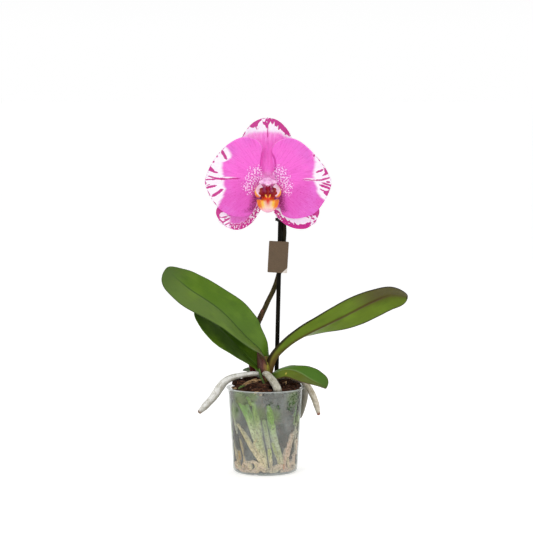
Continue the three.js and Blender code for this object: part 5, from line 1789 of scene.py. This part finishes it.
def make_lip():
    lumps = [egg(half, centre) for half, centre in LIP_LUMPS.values()]
    solid = remeshed(joined([side_lobe(1), side_lobe(-1), mid_lobe(), *lumps]), **LIP_SKIN)
    colour_values(solid, lip_colours(solid.points))
    solid.values.update(zip(("lip_a", "lip_b", "lip_c"), solid.points.T))
    make("lip_fine", solid.moved(in_flower), lip_material(), ["lip"])


COLUMN = ([(0, 1, 3.4), (0, -0.1, 9), (0, -1.5, 14)], [3.5, 3.3, 3.6, 3.7])
ANTHER_CAP = dict(half=(3.6, 3.6, 3.4), centre=(0, -3.8, 16))


def column_material(name, base, blush):
    """Pale waxy tissue that blushes in patches, dark on the beak."""
    m = Shade(name, Specular_IOR_Level=0.25, Coat_Weight=0.05, Coat_Roughness=0.3)
    m.set(Subsurface_Weight=0.15, Subsurface_Radius=(1.0, 0.5, 0.8), Subsurface_Scale=0.001)
    p = m.place()
    cloud, fine = m.noise(p, 2.6, 3, 0.6), m.noise(p, 0.6, 3, 0.6)
    m.colour = m.mix(m.step(cloud, 0.38, 0.68), base, blush)
    m.paint(m.step(fine, 0.62, 0.78, 0, 0.35), (214, 96, 176))
    m.paint(m.times(m.attribute("beak"), 0.6), (150, 70, 70))
    return m.done(m.step(cloud, 0.3, 0.7, 0.32, 0.46), m.bump(m.add(cloud, fine, 0.4), 0.15))


def make_column():
    def hood(s, around, points):
        wing = 0.32 * smoothstep(s, 0.35, 0.95) * (np.abs(np.cos(around)) ** 3)
        return 1 + wing + 0.02 * np.sin(around * 9)

    body = tube(*COLUMN, 0.3, 60, hood)
    wings = 0.55 * smoothstep(body.points[:, 2], 7.5, 13) * smoothstep(body.points[:, 1], -4, 0)
    body.points[:, 0] *= 1 + wings
    body.values["beak"] = np.zeros(len(body.points))
    skin = column_material("column_skin", (250, 196, 236), (244, 148, 218))
    make("column_fine", body.moved(in_flower), skin, ["column"])


def make_anther_cap():
    """The cap at the column's tip, with its dark beak and a wing at each side."""

    def grooved(d):
        groove = 0.10 * bell(d[..., 0], 0, 0.16) * smoothstep(d[..., 2], -0.2, 0.6)
        return 1 - groove + 0.06 * np.abs(d[..., 0])

    half, centre = ANTHER_CAP["half"], ANTHER_CAP["centre"]
    dome = egg(half, centre, grooved, 40, 56)
    dome.points[:, 0] *= 0.6 + 0.85 * smoothstep(dome.points[:, 1], -7.4, -2.8)
    dome.values["beak"] = smoothstep(-dome.points[:, 1], 5.6, 6.8) * smoothstep(dome.points[:, 2], 14.5, 16.5)
    beak = egg((0.9, 0.8, 1.1), (0, centre[1] - 2.9, centre[2] + 2.2), rows=16, cols=20)
    beak.values["beak"] = np.ones(len(beak.points))
    wings = [egg((3.6, 2.6, 2.2), (side * 6.6, -2.4, 13.8), rows=20, cols=28) for side in (-1, 1)]
    skin = column_material("cap_skin", (252, 206, 240), (244, 164, 222))
    make("anther_cap_fine", joined([dome, beak, *wings]).moved(in_flower), skin, ["anther_cap"])


# The flower's stalk, from the stem to the back of the flower: its route and its radii.
PEDICEL = (
    [
        (13.9, -35.6, -30.1), (13, -31.5, -31), (11.5, -20, -31), (7, -7, -25), (2, -0.5, -15),
        (0, 0, -7), (0, 0, 3),
    ],
    [2, 2.1, 2.2, 2.4, 2.8, 3.4, 3.8],
)


def pedicel_material():
    """Stem colours at the foot, and pink towards the flower."""
    m = Shade("pedicel_skin", Specular_IOR_Level=0.15)
    around, along = m.attributes("around", "along")
    lanes = m.noise(m.combine(m.times(around, 1.3), m.times(along, 5)), 0.3, 4, 0.65)
    blotch = m.noise(m.place(), 2.5, 4, 0.6)
    m.colour = m.mix(m.step(lanes, 0.38, 0.68), (30, 26, 16), (58, 54, 28))
    m.paint(m.step(along, 0.3, 0.95), m.mix(m.step(lanes, 0.4, 0.7), (196, 138, 170), (222, 196, 206)))
    m.paint(m.step(blotch, 0.55, 0.75, 0, 0.5), (104, 52, 66))
    return m.done(m.step(blotch, 0.3, 0.7, 0.4, 0.54), m.bump(m.add(lanes, blotch, 0.5), 0.2))


def make_pedicel():
    def ribs(s, around, points):
        return 1 + 0.05 * np.cos(around * 6 + s * 2.5) + 0.02 * grain(points, 3, 44)

    solid = tube(*PEDICEL, 0.5, 48, ribs).moved(in_flower)
    make("pedicel_fine", solid, pedicel_material(), ["pedicel"])


def make_flower():
    skins = {
        "petal": tepal_material("petal_skin", (246, 108, 214), (226, 88, 192), (226, 110, 208)),
        "dorsal": tepal_material("dorsal_skin", (255, 118, 222), (255, 96, 214), (255, 204, 243)),
        "lateral": tepal_material("lateral_skin", (236, 124, 212), (224, 108, 196), (226, 122, 206)),
    }
    for seed, name in enumerate(TEPALS):
        make_tepal(name, skins[name.split("_")[0]], 50 + 7 * seed)
    make_lip()
    make_column()
    make_anther_cap()
    make_pedicel()


# ------------------------------------------------------------------ floor, light and camera
FLOOR = dict(radius=90, drop=0.0002, glow=0.39)
# Each lamp: place, what it points at, size and watts.
LAMPS = {
    "key": ((-0.9, -1.3, 1.5), (0, 0, 0.2), 0.9, 6),
    "fill": ((1.3, -1.0, 0.9), (0, 0, 0.2), 1.1, 2),
    "top": ((0.1, 0.5, 1.7), (0, 0, 0.25), 0.9, 4),
}
CAMERA = dict(x=0.00138, z=0.23745, distance=2.3, pitch=5, lens=135.08, sensor=36, near=0.05, far=300)


def make_floor():
    place = (0, 0, -FLOOR["drop"])
    bpy.ops.mesh.primitive_circle_add(vertices=96, radius=FLOOR["radius"], fill_type="NGON", location=place)
    floor = bpy.context.active_object
    floor.name = "floor"
    m = Shade("floor_paint", Roughness=0.9, Specular_IOR_Level=0.1)
    m.set(Emission_Color=rgb(255, 255, 255), Emission_Strength=FLOOR["glow"])
    m.colour = m.mix(m.noise(m.place(), 400, 2, 0.5), (246, 246, 246), (250, 250, 250))
    floor.data.materials.append(m.done())


def make_room():
    """A white room that is a little darker overhead."""
    world = bpy.data.worlds.new("studio")
    bpy.context.scene.world = world
    world.use_nodes = True
    nodes, links = world.node_tree.nodes, world.node_tree.links
    where, split, fade = (nodes.new("ShaderNode" + kind) for kind in ("TexCoord", "SeparateXYZ", "MapRange"))
    for socket, value in zip(("From Min", "From Max", "To Min", "To Max"), (0.03, 0.6, 1.0, 0.6)):
        fade.inputs[socket].default_value = value
    links.new(where.outputs["Generated"], split.inputs[0])
    links.new(split.outputs[2], fade.inputs["Value"])
    background = nodes["Background"]
    background.inputs[0].default_value = (1, 1, 1, 1)
    links.new(fade.outputs[0], background.inputs[1])


def make_lamps():
    for name, (place, target, size, watts) in LAMPS.items():
        light = bpy.data.lights.new(name, "AREA")
        light.shape, light.size, light.energy = "DISK", size, watts
        lamp = new_object(name, light)
        lamp.location = place
        lamp.rotation_euler = (Vector(target) - Vector(place)).to_track_quat("-Z", "Y").to_euler()


def make_camera():
    data = bpy.data.cameras.new("camera")
    data.sensor_width, data.lens = CAMERA["sensor"], CAMERA["lens"]
    data.clip_start, data.clip_end = CAMERA["near"], CAMERA["far"]
    camera = new_object("camera", data)
    pitch, distance = math.radians(CAMERA["pitch"]), CAMERA["distance"]
    camera.location = (CAMERA["x"], -distance * math.cos(pitch), CAMERA["z"] + distance * math.sin(pitch))
    camera.rotation_euler = (math.pi / 2 - pitch, 0, 0)
    bpy.context.scene.camera = camera


bpy.context.scene.view_settings.view_transform = "Standard"
make_pot()
make_pot_roots()
make_bark()
make_aerial_roots()
make_crown()
make_leaves()
make_stem()
make_stake()
make_clips()
make_tag()
make_flower()
make_floor()
make_room()
make_lamps()
make_camera()
